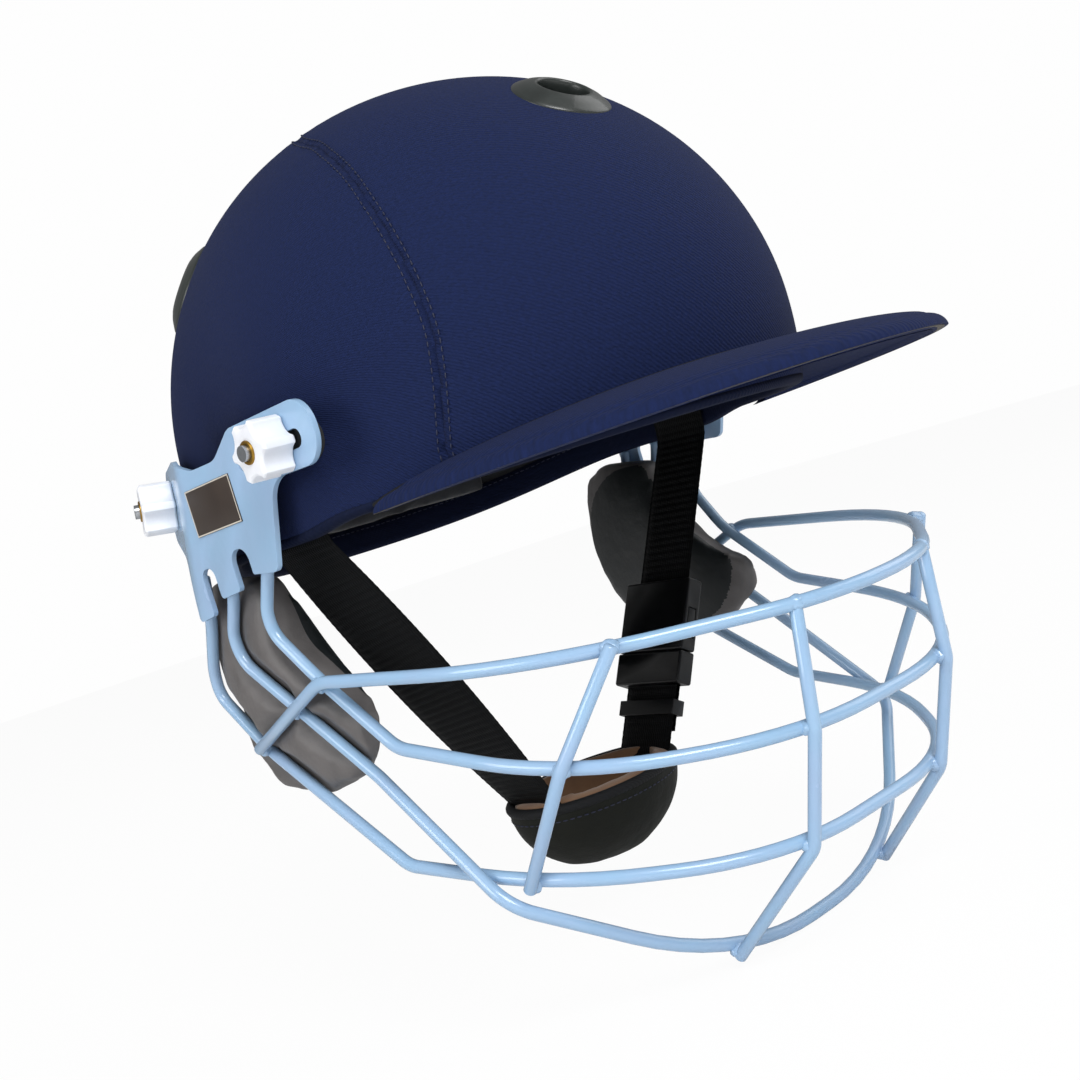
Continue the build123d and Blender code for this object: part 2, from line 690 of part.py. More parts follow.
save("strap_rivet_washers", Compound(rivet_washers))

# Chin cup


def bowl(inset):
    """The space inside the cup's outer surface moved inwards by inset, below and above its edge."""
    radii = (cup_half_length - inset, cup_half_width - inset, cup_depth - inset)
    return Pos(0, 0, cup_top_z) * scale(Sphere(1), by=radii)


below_edge = block(-field, field, -field, field, -field, cup_top_z)
below_lining = block(-field, field, -field, field, -field, cup_top_z + cup_lining_rise)
pocket = run_block(0, strap_length, webbing_width, -half_web, half_web)
pockets = [mirrored(pocket, way) for way in sides.values()]
cup_lining_body = (bowl(cup_panel) & below_lining) - bowl(cup_panel + cup_lining) - pockets
save("chin_cup_panel", lean_back * (((bowl(0) - bowl(cup_panel)) & below_edge) - pockets))
save("chin_cup_lining", lean_back * cup_lining_body)
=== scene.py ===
import math

import bmesh
import bpy
from mathutils import Matrix, Vector, noise
from mathutils.kdtree import KDTree


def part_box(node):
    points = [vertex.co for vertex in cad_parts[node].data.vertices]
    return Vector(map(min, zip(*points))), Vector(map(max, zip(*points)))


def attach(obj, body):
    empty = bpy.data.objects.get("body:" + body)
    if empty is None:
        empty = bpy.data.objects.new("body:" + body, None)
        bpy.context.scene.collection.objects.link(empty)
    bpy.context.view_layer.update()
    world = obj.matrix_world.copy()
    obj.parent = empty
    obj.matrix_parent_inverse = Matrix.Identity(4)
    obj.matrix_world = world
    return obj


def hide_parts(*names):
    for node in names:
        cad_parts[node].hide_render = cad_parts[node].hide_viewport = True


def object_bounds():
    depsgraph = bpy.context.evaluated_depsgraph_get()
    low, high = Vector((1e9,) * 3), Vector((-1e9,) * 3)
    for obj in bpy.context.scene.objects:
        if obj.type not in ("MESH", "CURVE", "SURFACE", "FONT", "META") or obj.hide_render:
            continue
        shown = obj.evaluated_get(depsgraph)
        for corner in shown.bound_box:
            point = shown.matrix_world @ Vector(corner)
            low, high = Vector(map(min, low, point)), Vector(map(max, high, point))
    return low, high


bl_info = {
    "name": "Cricket helmet",
    "version": (1, 0, 0),
    "blender": (4, 5, 0),
    "location": "3D View > Sidebar > Helmet",
    "description": "Dresses the helmet's frame in cloth, foam, enamelled wire and webbing",
    "category": "Add Mesh",
}

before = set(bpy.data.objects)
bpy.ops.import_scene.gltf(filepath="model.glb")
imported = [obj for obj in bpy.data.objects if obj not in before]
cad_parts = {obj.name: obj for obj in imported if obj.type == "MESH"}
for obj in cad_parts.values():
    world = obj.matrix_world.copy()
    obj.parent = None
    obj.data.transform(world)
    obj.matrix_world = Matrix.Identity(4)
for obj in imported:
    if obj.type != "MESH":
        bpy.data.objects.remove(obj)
cad_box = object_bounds()
MM = 0.001

# Every length below is in metres and every turn in degrees, where nothing else is said.
# Shell: the four quarter ellipsoids of the part's source
SHELL_HALF_WIDTH = 0.107
BROW_REACH = 0.1282
NAPE_REACH = 0.1129
CROWN_RISE = 0.1124
SKIRT_REACH = 0.13
WIDEST_Y = 0.0078
WIDEST_Z = 0.0309
SHELL_WALL = 0.004
COVER_WALL = 0.0012

# Halvings that find where a line leaves the shell, and the reaches between which the rim lies
HALVINGS = 26
RIM_REACHES = (0.02, 0.2)

# Rim line, as (place along Y, height)
RIM_LINE = [(-0.038, 0.002), (-0.012, -0.0005), (0.034, -0.0005), (0.1207, -0.009)]

# Seam of the front panel seen from the side, as shares of the shell's length and height
SEAM_SHARES = [(-0.27, -0.08), (-0.298, 0.068), (-0.315, 0.172), (-0.323, 0.252), (-0.3235, 0.325),
               (-0.312, 0.415), (-0.289, 0.514), (-0.25, 0.623), (-0.194, 0.734), (-0.112, 0.839),
               (-0.056, 0.884), (0.029, 0.946), (0.1, 0.98), (0.19, 1.0), (0.3, 1.02)]

# Cover: the faces of its grid across and round the shell
COVER_COLUMNS = 150
COVER_ROWS = 230

# Cover seam: the height that its points are sorted round, their spacing, its groove, the gathers
# beside it, the cloth's unevenness and the row of stitches
SEAM_MIDDLE = -0.03
SEAM_SPACING = 0.0015
GROOVE_WIDTH = 0.0015
GATHER_REACH = 0.007
GATHER_TURN = 1.3
UNEVENNESS = 0.0001
UNEVEN_SCALE = 22
STITCH_INSET = 0.002
STITCH_RISE = 0.00012

# Peak
PEAK_HALF_WIDTH = 0.0955
PEAK_REACH = 0.142
PEAK_RISE = 0.015
PEAK_ROOT = (0.0, -0.038, -0.0015)
PEAK_TILT = 1.4
PEAK_BOARD = 0.0026

# Peak's cloth: its grid, how many radians it runs on past each root, its top level and the spread
# of its rows, a level inside the dome, how deep it goes into the dome, its groove, stitches, waves,
# rolled edge, and the radius of the thin dark tube of painted shade along its root
PEAK_COLUMNS = 220
PEAK_ROWS = 44
PEAK_OVERRUN = 0.25
PEAK_TOP_LEVEL = math.radians(76)
PEAK_ROW_SPREAD = 1.2
PEAK_INNER_LEVEL = math.radians(80)
PEAK_BITE = 0.0008
PEAK_GROOVE = 0.0005
PEAK_GROOVE_LEVEL = math.radians(12)
PEAK_GROOVE_WIDTH = math.radians(2.5)
PEAK_STITCH_LEVEL = math.radians(13)
PEAK_STITCH_OVERRUN = 0.1
PEAK_STITCH_RISE = 0.0001
PEAK_WAVE = 0.0003
PEAK_WAVE_SCALE = 18
PEAK_ROLL = 0.0021
PEAK_ROLL_ANGLE = math.radians(55)
PEAK_ROOT_SHADE_RADIUS = 0.0008

# Hem round the rim, as (out from the shell, up from the rim) in millimetres, and its stitches
HEM_PROFILE = [(1.25, 0.6), (1.3, -0.9), (0.5, -2.0), (-1.2, -2.4), (-3.4, -2.3), (-4.7, -1.4),
               (-5.1, 0.5), (-5.1, 5.0), (-4.9, 9.0), (-4.2, 9.2), (-4.05, 4.0), (-4.0, 0.3),
               (0.6, 0.2)]
HEM_STITCHES = (-0.0052, 0.0074)
HEM_PLACES = 420

# Vent eyelets: where they sit, and their profile in millimetres, as (out from the bore, or in from
# the flange's edge, height); past VENT_SEATED from the bore the profile follows the dome
VENT_BORE = 0.017
VENT_FLANGE = 0.034
VENT_PLACES = {"front_vent": (0.0, -0.082), "rear_right_vent": (-0.075, 0.053),
               "rear_left_vent": (0.075, 0.053)}
VENT_LIP = [(0.0, -7.0), (0.0, 1.2), (0.25, 2.1), (1.0, 2.6), (2.4, 2.55), (4.4, 2.2)]
VENT_EDGE = [(2.2, 1.25), (0.9, 0.75), (0.2, 0.3), (0.0, -0.3), (0.3, -0.9)]
VENT_BACK = [(2.4, -0.9), (1.6, -1.4), (1.6, -7.0)]
VENT_SEATED = 0.0018
VENT_CLEARANCE = 0.0015
VENT_TURNS = 96

# Face guard wires: corners of each bar's left half, as shares of the guard's half width, reach and
# drop, and each bend's radius as a share of the reach
GUARD_HALF_WIDTH = 0.1083
GUARD_REACH = 0.148
GUARD_DROP = 0.1685
BAR_WIRE = 0.0043
UPRIGHT_WIRE = 0.0041
BARS = {
    "top_bar": [(0.987, 0.318, -0.393, 0.0), (1.006, -0.043, -0.278, 0.15),
                (0.91, -0.645, -0.332, 1.0), (0.239, -0.998, -0.372, 1.0)],
    "second_bar": [(1.0, 0.0, -0.007, 0.0), (1.0, 0.03, -0.055, 0.2), (1.0, 0.1, -0.15, 0.08),
                   (0.968, -0.002, -0.272, 0.3), (0.954, -0.205, -0.431, 0.11),
                   (0.875, -0.616, -0.525, 1.0), (0.394, -0.919, -0.583, 1.0)],
    "third_bar": [(1.0, 0.308, -0.02, 0.0), (1.0, 0.33, -0.1, 0.2), (0.965, 0.45, -0.215, 0.2),
                  (0.955, 0.468, -0.27, 0.08), (0.949, 0.318, -0.405, 0.3),
                  (0.948, -0.108, -0.66, 0.1), (0.856, -0.494, -0.723, 1.0),
                  (0.423, -0.823, -0.787, 1.0)],
    "bottom_bar": [(1.0, 0.175, -0.018, 0.0), (1.0, 0.2, -0.075, 0.2), (0.986, 0.302, -0.186, 0.08),
                   (0.941, -0.089, -0.484, 0.3), (0.936, -0.397, -0.742, 0.12),
                   (0.393, -0.579, -1.0, 1.0)],
}
# Uprights: the place across the helmet where each one crosses each bar
UPRIGHTS = {"centre_upright": (0.0334, 0.0348, 0.0342, 0.0392),
            "outer_upright": (0.0775, 0.09, 0.0924)}
# How far an upright sinks into a bar and how far it stands past the last one, and its bends
WELD_BITE = 0.00025
UPRIGHT_STUB = 0.0015
UPRIGHT_BEND = 0.009

# Bends: the share of a straight run that one may take, and the least turn, in radians, that is bent
BEND_SHARE = 0.48
LEAST_TURN = 0.001

# Points at the top bar's end where the other bars reach it
TOP_BAR_END = 8

# Below this, two straight pieces count as parallel
PARALLEL = 1e-14

# The two sides of the helmet and their signs along X
SIDES = {"right": -1, "left": 1}

# Rounded ends of a wire: how far they reach out, and where and how much they narrow
TIP_DOME = 0.35
TIP_SHARES = (0.55, 0.85, 1.0)
TIP_NARROWING = 0.92

# Welds: how lumpy a bead is, how fine its lumps are, how much they differ from bead to bead, and
# its length and thickness as shares of the bead's size
WELD_LUMP = 0.22
WELD_LUMP_SCALE = 1.7
WELD_VARIETY = 900
WELD_LENGTH = 1.15
WELD_THICKNESS = 0.95

# Pieces taken from the frame: how near points are to be merged, the angles under which faces are
# made one, over which edges are rounded and over which they stay sharp, and the label's border
MERGE_GAP = 0.003 * MM
FLAT_ANGLE = math.radians(1)
BEVEL_ANGLE = math.radians(38)
SHARP_ANGLE = math.radians(34)
LABEL_EDGE = 0.00012
LABEL_BORDER = 0.00055
LABEL_BORDER_RISE = 0.00006

# Foam: the cloth simulation that swells it, and its gap to the shell
SWELL_PRESSURE = 4.0
SWELL_QUALITY = 4
SWELL_FRAMES = 20
LINING_GAP = 0.0002

# Cheek pads: their gap to the wires, how far they bulge between them and how far from a wire, their
# outer limit and where their facing starts
PAD_WIRE_GAP = 0.0006
PAD_BULGE = 0.005
PAD_BULGE_REACH = 0.008
PAD_OUTER_X = 0.1086
PAD_FACING_X = 0.093

# Cheek pads: how their tops are drawn up and back behind the plates' fingers
PAD_TUCK_LOW = -0.06
PAD_TUCK_HEIGHT = 0.045
PAD_TUCK_BACK = 0.004
PAD_REAR_Y = 0.06
PAD_NARROWING = 0.9
PAD_TUCK_UP = 0.006

# Webbing: places along each rib and across the width, and how its edge thins and loses its ribs
RIB_PLACES = 5
WEBBING_SPREAD = 16
SELVEDGE_SHAPE = 10
SELVEDGE_THICKNESS = 0.35
SELVEDGE_START = 0.86
SELVEDGE_RIB = 0.3

# Chin strap and its buckle: the rivets' line as (y, z), the tab on the shell, the foot of the
# strap's straight run as (x, z), and places along that run
WEBBING_WIDTH = 0.027
WEBBING_THICKNESS = 0.0018
STRAP_ANCHOR = (-0.002, 0.013)
STRAP_TAB_X = 0.096
STRAP_TAB_TOP = 0.024
STRAP_TAB_FOOT = -0.004
STRAP_FOOT = (0.0265, -0.1235)
STRAP_LEAN = 3.5
STRAP_BEND = 0.014
BUCKLE_START = 0.064
SOCKET_LENGTH = 0.029
PLUG_LENGTH = 0.013
WEBBING_TUCK = 0.005
BUCKLE_GAP = 0.0003
TAIL_LENGTH = 0.023
STRAP_TWIST = 22.0

# Chin cup: its form, the levels of its bowl, the places round it and round its edge, how narrow its
# last level is, its creases, its bound edge and its stitches
CUP_HALF_LENGTH = 0.038
CUP_HALF_WIDTH = 0.026
CUP_DEPTH = 0.03
CUP_TOP = -0.119
CUP_PANEL = 0.002
CUP_LEVELS = 26
CUP_PLACES = 96
CUP_EDGE_PLACES = 120
CUP_TIP = 0.02
CUP_CREASE = 0.0005
CUP_CREASE_SCALE = 70
CUP_FINE_CREASE = 0.5
CUP_FINE_CREASE_SCALE = 160
CUP_BINDING = 0.0019
CUP_BINDING_INSET = 0.001
CUP_BINDING_SIDES = 12
CUP_STITCH_SHARE = 0.992
CUP_STITCH_DROP = 0.0042

# The photograph's camera, its lens and sensor in millimetres, and the nearest that it shows
CAMERA_PLACE = (-0.3489, -0.4033, -0.0123)
CAMERA_AZIMUTH = -41.258
CAMERA_ELEVATION = 1.513
CAMERA_ROLL = -17.315
CAMERA_LENS = 47.67
SENSOR_WIDTH = 36.0
CAMERA_NEAREST = 0.01

# Lamps as (name, place, size, watts), the light that the sky gives and the grey that it shows, and
# the floor with its gap to the helmet and the share of white that it shows to the camera
LAMPS = (("key_lamp", (-0.5, -1.3, 1.1), 0.8, 25),
         ("side_lamp", (-1.5, 0.1, 0.5), 0.8, 11),
         ("far_lamp", (1.2, -0.6, 0.9), 1.2, 8))
SKY_LIGHT = 0.27
SKY_SEEN = 0.99
FLOOR_COLOUR = "#f2f2f2"
FLOOR_ROUGHNESS = 0.9
FLOOR_SIZE = 4.0
FLOOR_GAP = 0.0005
FLOOR_GLOW = 0.95

# One more level of faces, shown and rendered
FINER = ("SUBSURF", {"levels": 1, "render_levels": 1})

# Textures of the materials' relief
NOISE = "ShaderNodeTexNoise"
CELLS = "ShaderNodeTexVoronoi"
WAVES = "ShaderNodeTexWave"


def linear(code):
    """The linear colour of an sRGB hex value."""
    parts = [int(code[place:place + 2], 16) / 255 for place in (1, 3, 5)]
    return tuple(part / 12.92 if part <= 0.04045 else ((part + 0.055) / 1.055) ** 2.4
                 for part in parts) + (1.0,)


def add(tree, kind, settings=(), inputs=()):
    """Adds a node with its settings, and its inputs as values or as the sockets that feed them."""
    made = tree.nodes.new(kind)
    for name, value in dict(settings).items():
        setattr(made, name, value)
    for name, value in dict(inputs).items():
        if isinstance(value, bpy.types.NodeSocket):
            tree.links.new(value, made.inputs[name])
        else:
            made.inputs[name].default_value = value
    return made


def surface(name, colours, patch, roughness, bumps=(), coordinates="Object", **constants):
    """A material of two colours in patches, with a range of roughness and layers of relief.

    colours are two hex values, patch is the size of their patches, and roughness its lowest and
    highest value. Each bump is (texture, settings, inputs, depth), its depth in metres.
    """
    material = bpy.data.materials.new(name)
    material.use_nodes = True
    tree = material.node_tree
    shader = tree.nodes["Principled BSDF"]
    for socket, value in constants.items():
        shader.inputs[socket.replace("_", " ")].default_value = value
    place = add(tree, "ShaderNodeTexCoord").outputs[coordinates]
    spots = add(tree, NOISE, inputs={"Vector": place, "Scale": 1 / patch, "Detail": 4.0})
    # Sockets 6, 7 and 2 are the two colours of a colour mix and its result
    mix = add(tree, "ShaderNodeMix", {"data_type": "RGBA"},
              {0: spots.outputs["Fac"], 6: linear(colours[0]), 7: linear(colours[1])})
    tree.links.new(mix.outputs[2], shader.inputs["Base Color"])
    low, high = roughness
    gloss = add(tree, "ShaderNodeMapRange",
                inputs={"Value": spots.outputs["Fac"], "To Min": low, "To Max": high})
    tree.links.new(gloss.outputs["Result"], shader.inputs["Roughness"])
    normal = None
    for kind, settings, inputs, depth in bumps:
        relief = add(tree, kind, settings, {"Vector": place, **inputs})
        height = relief.outputs["Distance" if kind == CELLS else "Fac"]
        bump = add(tree, "ShaderNodeBump",
                   inputs={"Height": height, "Distance": depth, "Strength": 1.0})
        if normal:
            tree.links.new(normal, bump.inputs["Normal"])
        normal = bump.outputs["Normal"]
    if normal:
        tree.links.new(normal, shader.inputs["Normal"])
    return material


def threads(pitch, direction="DIAGONAL", wander=0.0):
    """Settings and inputs of a wave texture whose lines are about a pitch apart.

    At a scale of 1, lines across an axis are pi / 10 apart and diagonal ones up to 1.4 times that.
    """
    return ({"wave_type": "BANDS", "bands_direction": direction, "wave_profile": "SIN"},
            {"Scale": math.pi / 10 / pitch, "Distortion": wander, "Detail": 1.0,
             "Detail Scale": 2.0})


MATERIALS = {}


def make_materials(colours):
    """Every finish of the helmet."""
    # Cotton and polyester twill: matt with a faint sheen, its diagonal drawn coarser than the real
    # one so that it shows
    MATERIALS["twill"] = surface(
        "navy_polyester_twill", (colours.cloth, colours.cloth_worn), 1.3 * MM, (0.74, 0.92),
        [(WAVES, *threads(0.85 * MM, wander=2.5), 0.12 * MM),
         (NOISE, {}, {"Scale": 1 / (0.9 * MM)}, 0.05 * MM)],
        coordinates="UV", Sheen_Weight=0.02, Sheen_Roughness=0.5, Specular_IOR_Level=0.1)
    # Bias tape of the same cloth: finer weave and darker where it is folded
    MATERIALS["tape"] = surface(
        "navy_bias_tape", (colours.tape, colours.cloth), 9 * MM, (0.8, 0.92),
        [(WAVES, *threads(0.8 * MM, wander=0.5), 0.08 * MM)], Specular_IOR_Level=0.12)
    # Black bias tape on the cup's edge: slightly shiny from wear. The same black also makes the
    # thin tube of painted shade in the corner at the peak's root
    MATERIALS["black_tape_and_painted_shade"] = surface(
        "black_bias_tape_and_painted_shade", ("#0c0d0e", "#16171a"), 9 * MM, (0.6, 0.8),
        [(WAVES, *threads(0.8 * MM, wander=0.5), 0.08 * MM)], Specular_IOR_Level=0.25)
    # Polyester sewing thread: a dark, slightly bright strand
    MATERIALS["thread"] = surface(
        "polyester_thread", ("#11162a", "#1a2140"), 1 * MM, (0.5, 0.65),
        [(WAVES, *threads(0.35 * MM), 0.04 * MM)])
    # Injection moulded ABS shell: fine spark-eroded grain, satin
    MATERIALS["shell"] = surface(
        "moulded_abs_shell", ("#16171b", "#1d1f24"), 20 * MM, (0.42, 0.55),
        [(NOISE, {}, {"Scale": 1 / (0.7 * MM)}, 0.03 * MM)])
    # Brushed nylon knit over foam, as in helmet linings: soft and dusty
    MATERIALS["lining"] = surface(
        "brushed_nylon_lining", ("#1b1c20", "#282a2f"), 12 * MM, (0.85, 0.95),
        [(CELLS, {}, {"Scale": 1 / (1.4 * MM)}, 0.08 * MM)], Sheen_Weight=0.25)
    # Towelling sweatband: looped pile
    MATERIALS["towelling"] = surface(
        "cotton_towelling", ("#25272d", "#33363d"), 8 * MM, (0.9, 0.98),
        [(CELLS, {}, {"Scale": 1 / (1.6 * MM)}, 0.35 * MM)], Sheen_Weight=0.2)
    # Cheek pads in coated cloth over foam: grey-brown, lightly creased, with a soft gloss
    MATERIALS["pad"] = surface(
        "coated_pad_cloth", (colours.pad, colours.pad_worn), 11 * MM, (0.42, 0.62),
        [(NOISE, {}, {"Scale": 1 / (6 * MM), "Detail": 6.0}, 0.5 * MM),
         (CELLS, {"feature": "DISTANCE_TO_EDGE"}, {"Scale": 1 / (0.9 * MM)}, 0.03 * MM)])
    # The same cloth in black on the pads' inner faces, next to the cheeks
    MATERIALS["pad_dark"] = surface(
        "coated_pad_cloth_dark", ("#101416", "#1d2224"), 11 * MM, (0.4, 0.58),
        [(NOISE, {}, {"Scale": 1 / (7 * MM), "Detail": 6.0}, 0.5 * MM),
         (CELLS, {"feature": "DISTANCE_TO_EDGE"}, {"Scale": 1 / (0.9 * MM)}, 0.03 * MM)])
    # Stove enamel on mild steel: glossy and a little wavy, with dust specks
    MATERIALS["enamel"] = surface(
        "sky_blue_stove_enamel", (colours.enamel, colours.enamel_shade), 22 * MM, (0.16, 0.32),
        [(NOISE, {}, {"Scale": 1 / (5 * MM), "Detail": 3.0}, 0.12 * MM),
         (NOISE, {}, {"Scale": 1 / (0.8 * MM)}, 0.008 * MM)],
        Coat_Weight=0.35, Coat_Roughness=0.12)
    # Moulded nylon knobs: off-white, faintly translucent, with a satin mould finish
    MATERIALS["nylon"] = surface(
        "moulded_white_nylon", (colours.knob, colours.knob_shade), 6 * MM, (0.3, 0.45),
        [(NOISE, {}, {"Scale": 1 / (1.2 * MM)}, 0.03 * MM)],
        Subsurface_Weight=0.12, Subsurface_Radius=(0.002, 0.002, 0.002), Subsurface_Scale=1.0)
    # Turned brass, dulled by handling
    MATERIALS["brass"] = surface(
        "turned_brass", ("#b08a3c", "#8a6a2c"), 2 * MM, (0.25, 0.45),
        [(NOISE, {}, {"Scale": 1 / (0.4 * MM)}, 0.02 * MM)], Metallic=1.0)
    # Zinc plated steel screws: pale metal with a fine thread
    MATERIALS["zinc"] = surface(
        "zinc_plated_steel", ("#b9bcc0", "#94989d"), 2 * MM, (0.25, 0.42),
        [(NOISE, {}, {"Scale": 1 / (0.5 * MM)}, 0.02 * MM)], Metallic=1.0)
    # Black rubber spacers: matt, slightly bloomed
    MATERIALS["rubber"] = surface(
        "black_rubber", ("#17181a", "#232527"), 4 * MM, (0.6, 0.8),
        [(NOISE, {}, {"Scale": 1 / (0.6 * MM)}, 0.03 * MM)])
    # Woven polypropylene webbing: hard shiny yarn in cross ribs
    MATERIALS["webbing"] = surface(
        "black_polypropylene_webbing", (colours.webbing, "#101113"), 5 * MM, (0.45, 0.65),
        [(WAVES, *threads(0.55 * MM, direction="X", wander=0.8), 0.12 * MM),
         (WAVES, *threads(1.0 * MM, direction="Y", wander=0.6), 0.08 * MM)],
        coordinates="UV", Specular_IOR_Level=0.12)
    # Acetal buckle: black, slick, with a fine mould texture
    MATERIALS["acetal"] = surface(
        "moulded_black_acetal", ("#07080a", "#0d0e10"), 8 * MM, (0.28, 0.42),
        [(NOISE, {}, {"Scale": 1 / (0.6 * MM)}, 0.02 * MM)], Specular_IOR_Level=0.35)
    # Coated cloth of the cup: dull black with a leather-like grain and rubbed high spots
    MATERIALS["cup"] = surface(
        "coated_cup_cloth", (colours.cup, "#1c1d18"), 10 * MM, (0.5, 0.7),
        [(CELLS, {"feature": "DISTANCE_TO_EDGE"}, {"Scale": 1 / (1.5 * MM)}, 0.08 * MM),
         (NOISE, {}, {"Scale": 1 / (9 * MM), "Detail": 4.0}, 0.6 * MM)],
        Specular_IOR_Level=0.15)
    # Suede: short nap that goes pale where it is brushed
    MATERIALS["suede"] = surface(
        "tan_suede", (colours.suede, "#8d6b4c"), 7 * MM, (0.85, 0.97),
        [(NOISE, {}, {"Scale": 1 / (0.6 * MM), "Detail": 5.0}, 0.1 * MM)], Sheen_Weight=0.3)
    # Gunmetal lacquer on the eyelets, their rings and the rivets: satin, slightly worn
    MATERIALS["gunmetal"] = surface(
        "gunmetal_lacquer", ("#171b1a", "#272d2b"), 8 * MM, (0.3, 0.48),
        [(NOISE, {}, {"Scale": 1 / (1.5 * MM)}, 0.03 * MM)], Coat_Weight=0.2)
    # Bare foil label: dark bronze film with a faint brushed grain
    MATERIALS["label"] = surface(
        "dark_foil_label", ("#2b211c", "#3a2f27"), 9 * MM, (0.3, 0.45),
        [(NOISE, {}, {"Scale": 1 / (0.7 * MM)}, 0.01 * MM)])
    # Border of the label: pale and matt
    MATERIALS["label_edge"] = surface(
        "pale_label_border", ("#b9b3a6", "#cfc9bd"), 5 * MM, (0.35, 0.5),
        [(NOISE, {}, {"Scale": 1 / (0.7 * MM)}, 0.01 * MM)])
    # Pressed board inside the peak
    MATERIALS["board"] = surface(
        "pressed_board", ("#4a4640", "#5a554d"), 4 * MM, (0.8, 0.95),
        [(NOISE, {}, {"Scale": 1 / (0.8 * MM)}, 0.05 * MM)])


def smoothstep(share):
    """A share from 0 to 1 that starts and ends slowly."""
    share = min(max(share, 0.0), 1.0)
    return share * share * (3 - 2 * share)


def rim_height(y):
    """Height of the rim line at a place along the helmet."""
    for (start, low), (end, high) in zip(RIM_LINE, RIM_LINE[1:]):
        if y < end:
            return low + (high - low) * smoothstep((y - start) / (end - start))
    return RIM_LINE[-1][1]


def seam_y(z):
    """Place of the panel seam at one height, on a smooth curve through its points."""
    points = [(up * (WIDEST_Z + CROWN_RISE), along * (BROW_REACH + NAPE_REACH))
              for along, up in SEAM_SHARES]
    z = min(max(z, points[1][0]), points[-2][0])
    place = 1
    while z > points[place + 1][0]:
        place += 1
    (z0, y0), (z1, y1), (z2, y2), (z3, y3) = points[place - 1:place + 3]
    share = (z - z1) / (z2 - z1)
    start = (y2 - y0) / (z2 - z0) * (z2 - z1)
    end = (y3 - y1) / (z3 - z1) * (z2 - z1)
    square, cube = share * share, share ** 3
    return (y1 * (2 * cube - 3 * square + 1) + start * (cube - 2 * square + share)
            + y2 * (3 * square - 2 * cube) + end * (cube - square))


def dome_point(across, around, offset):
    """A point on the shell moved outwards by offset; both angles run from the +X pole."""
    reach = (BROW_REACH if math.cos(around) < 0 else NAPE_REACH) + offset
    rise = (CROWN_RISE if math.sin(around) > 0 else SKIRT_REACH) + offset
    return Vector(((SHELL_HALF_WIDTH + offset) * math.cos(across),
                   WIDEST_Y + reach * math.sin(across) * math.cos(around),
                   WIDEST_Z + rise * math.sin(across) * math.sin(around)))


def dome_level(point, offset):
    """Under 1 inside the shell moved outwards by offset, over 1 outside it."""
    reach = (BROW_REACH if point.y < WIDEST_Y else NAPE_REACH) + offset
    rise = (CROWN_RISE if point.z > WIDEST_Z else SKIRT_REACH) + offset
    return math.sqrt((point.x / (SHELL_HALF_WIDTH + offset)) ** 2
                     + ((point.y - WIDEST_Y) / reach) ** 2 + ((point.z - WIDEST_Z) / rise) ** 2)


def outward(point):
    """Unit vector square to the shell at one of its points."""
    reach = BROW_REACH if point.y < WIDEST_Y else NAPE_REACH
    rise = CROWN_RISE if point.z > WIDEST_Z else SKIRT_REACH
    return Vector((point.x / SHELL_HALF_WIDTH ** 2, (point.y - WIDEST_Y) / reach ** 2,
                   (point.z - WIDEST_Z) / rise ** 2)).normalized()


def dome_edge(line, inside, outside, offset):
    """The point of a line, a function of one number, where it leaves the shell moved outwards."""
    for halving in range(HALVINGS):
        middle = (inside + outside) / 2
        if dome_level(line(middle), offset) < 1:
            inside = middle
        else:
            outside = middle
    return line(middle)


def vent_seat(name):
    """The centre of a vent on the cover, and its axis."""
    x, y = VENT_PLACES[name]
    share = 1 - (x / (SHELL_HALF_WIDTH + COVER_WALL)) ** 2
    reach = (BROW_REACH if y < WIDEST_Y else NAPE_REACH) + COVER_WALL
    share -= ((y - WIDEST_Y) / reach) ** 2
    place = Vector((x, y, WIDEST_Z + (CROWN_RISE + COVER_WALL) * math.sqrt(share)))
    return place, outward(place)


def trim(mesh, keep):
    """Cuts a surface where keep(point) is zero, drops what is below and gives the cut's points."""
    values = {vert: keep(vert.co) for vert in mesh.verts}
    line = []
    for edge in list(mesh.edges):
        start, end = edge.verts
        low, high = values[start], values[end]
        if low * high < 0:
            vert = bmesh.utils.edge_split(edge, start, low / (low - high))[1]
            values[vert] = 0.0
            line.append(vert)
    for face in list(mesh.faces):
        cut = [vert for vert in face.verts if values[vert] == 0.0]
        if len(cut) == 2 and not any(cut[1] in edge.verts for edge in cut[0].link_edges):
            bmesh.utils.face_split(face, *cut)
    below = [face for face in mesh.faces if sum(values[vert] for vert in face.verts) < 0]
    bmesh.ops.delete(mesh, geom=below, context="FACES")
    return [vert for vert in line if vert.is_valid]


def shown(name, data):
    """A new object in the scene."""
    made = bpy.data.objects.new(name, data)
    bpy.context.scene.collection.objects.link(made)
    return made


def shade(data, smooth=True):
    """Shades a mesh's faces smooth or flat."""
    data.polygons.foreach_set("use_smooth", [smooth] * len(data.polygons))


def dress(piece, body, replaces=()):
    """Puts a piece on the body it rides on and hides the nodes it stands for."""
    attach(piece, body)
    if replaces:
        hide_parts(*replaces)


def finished(name, mesh, material, body, replaces=(), smooth=True):
    """An object from a bmesh, riding on its body with its finish."""
    data = bpy.data.meshes.new(name)
    mesh.to_mesh(data)
    mesh.free()
    shade(data, smooth)
    piece = shown(name, data)
    data.materials.append(MATERIALS[material])
    dress(piece, body, replaces)
    return piece


def give(node, material):
    """Gives a CAD node its material."""
    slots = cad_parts[node].data.materials
    slots.clear()
    slots.append(MATERIALS[material])


def plain(piece):
    """Turns an object's modifiers into its own mesh."""
    graph = bpy.context.evaluated_depsgraph_get()
    data = bpy.data.meshes.new_from_object(piece.evaluated_get(graph),
                                           preserve_all_data_layers=True, depsgraph=graph)
    if piece.type == "MESH":
        piece.modifiers.clear()
        piece.data = data
        return piece
    made = shown(piece.name, data)
    bpy.data.objects.remove(piece)
    return made


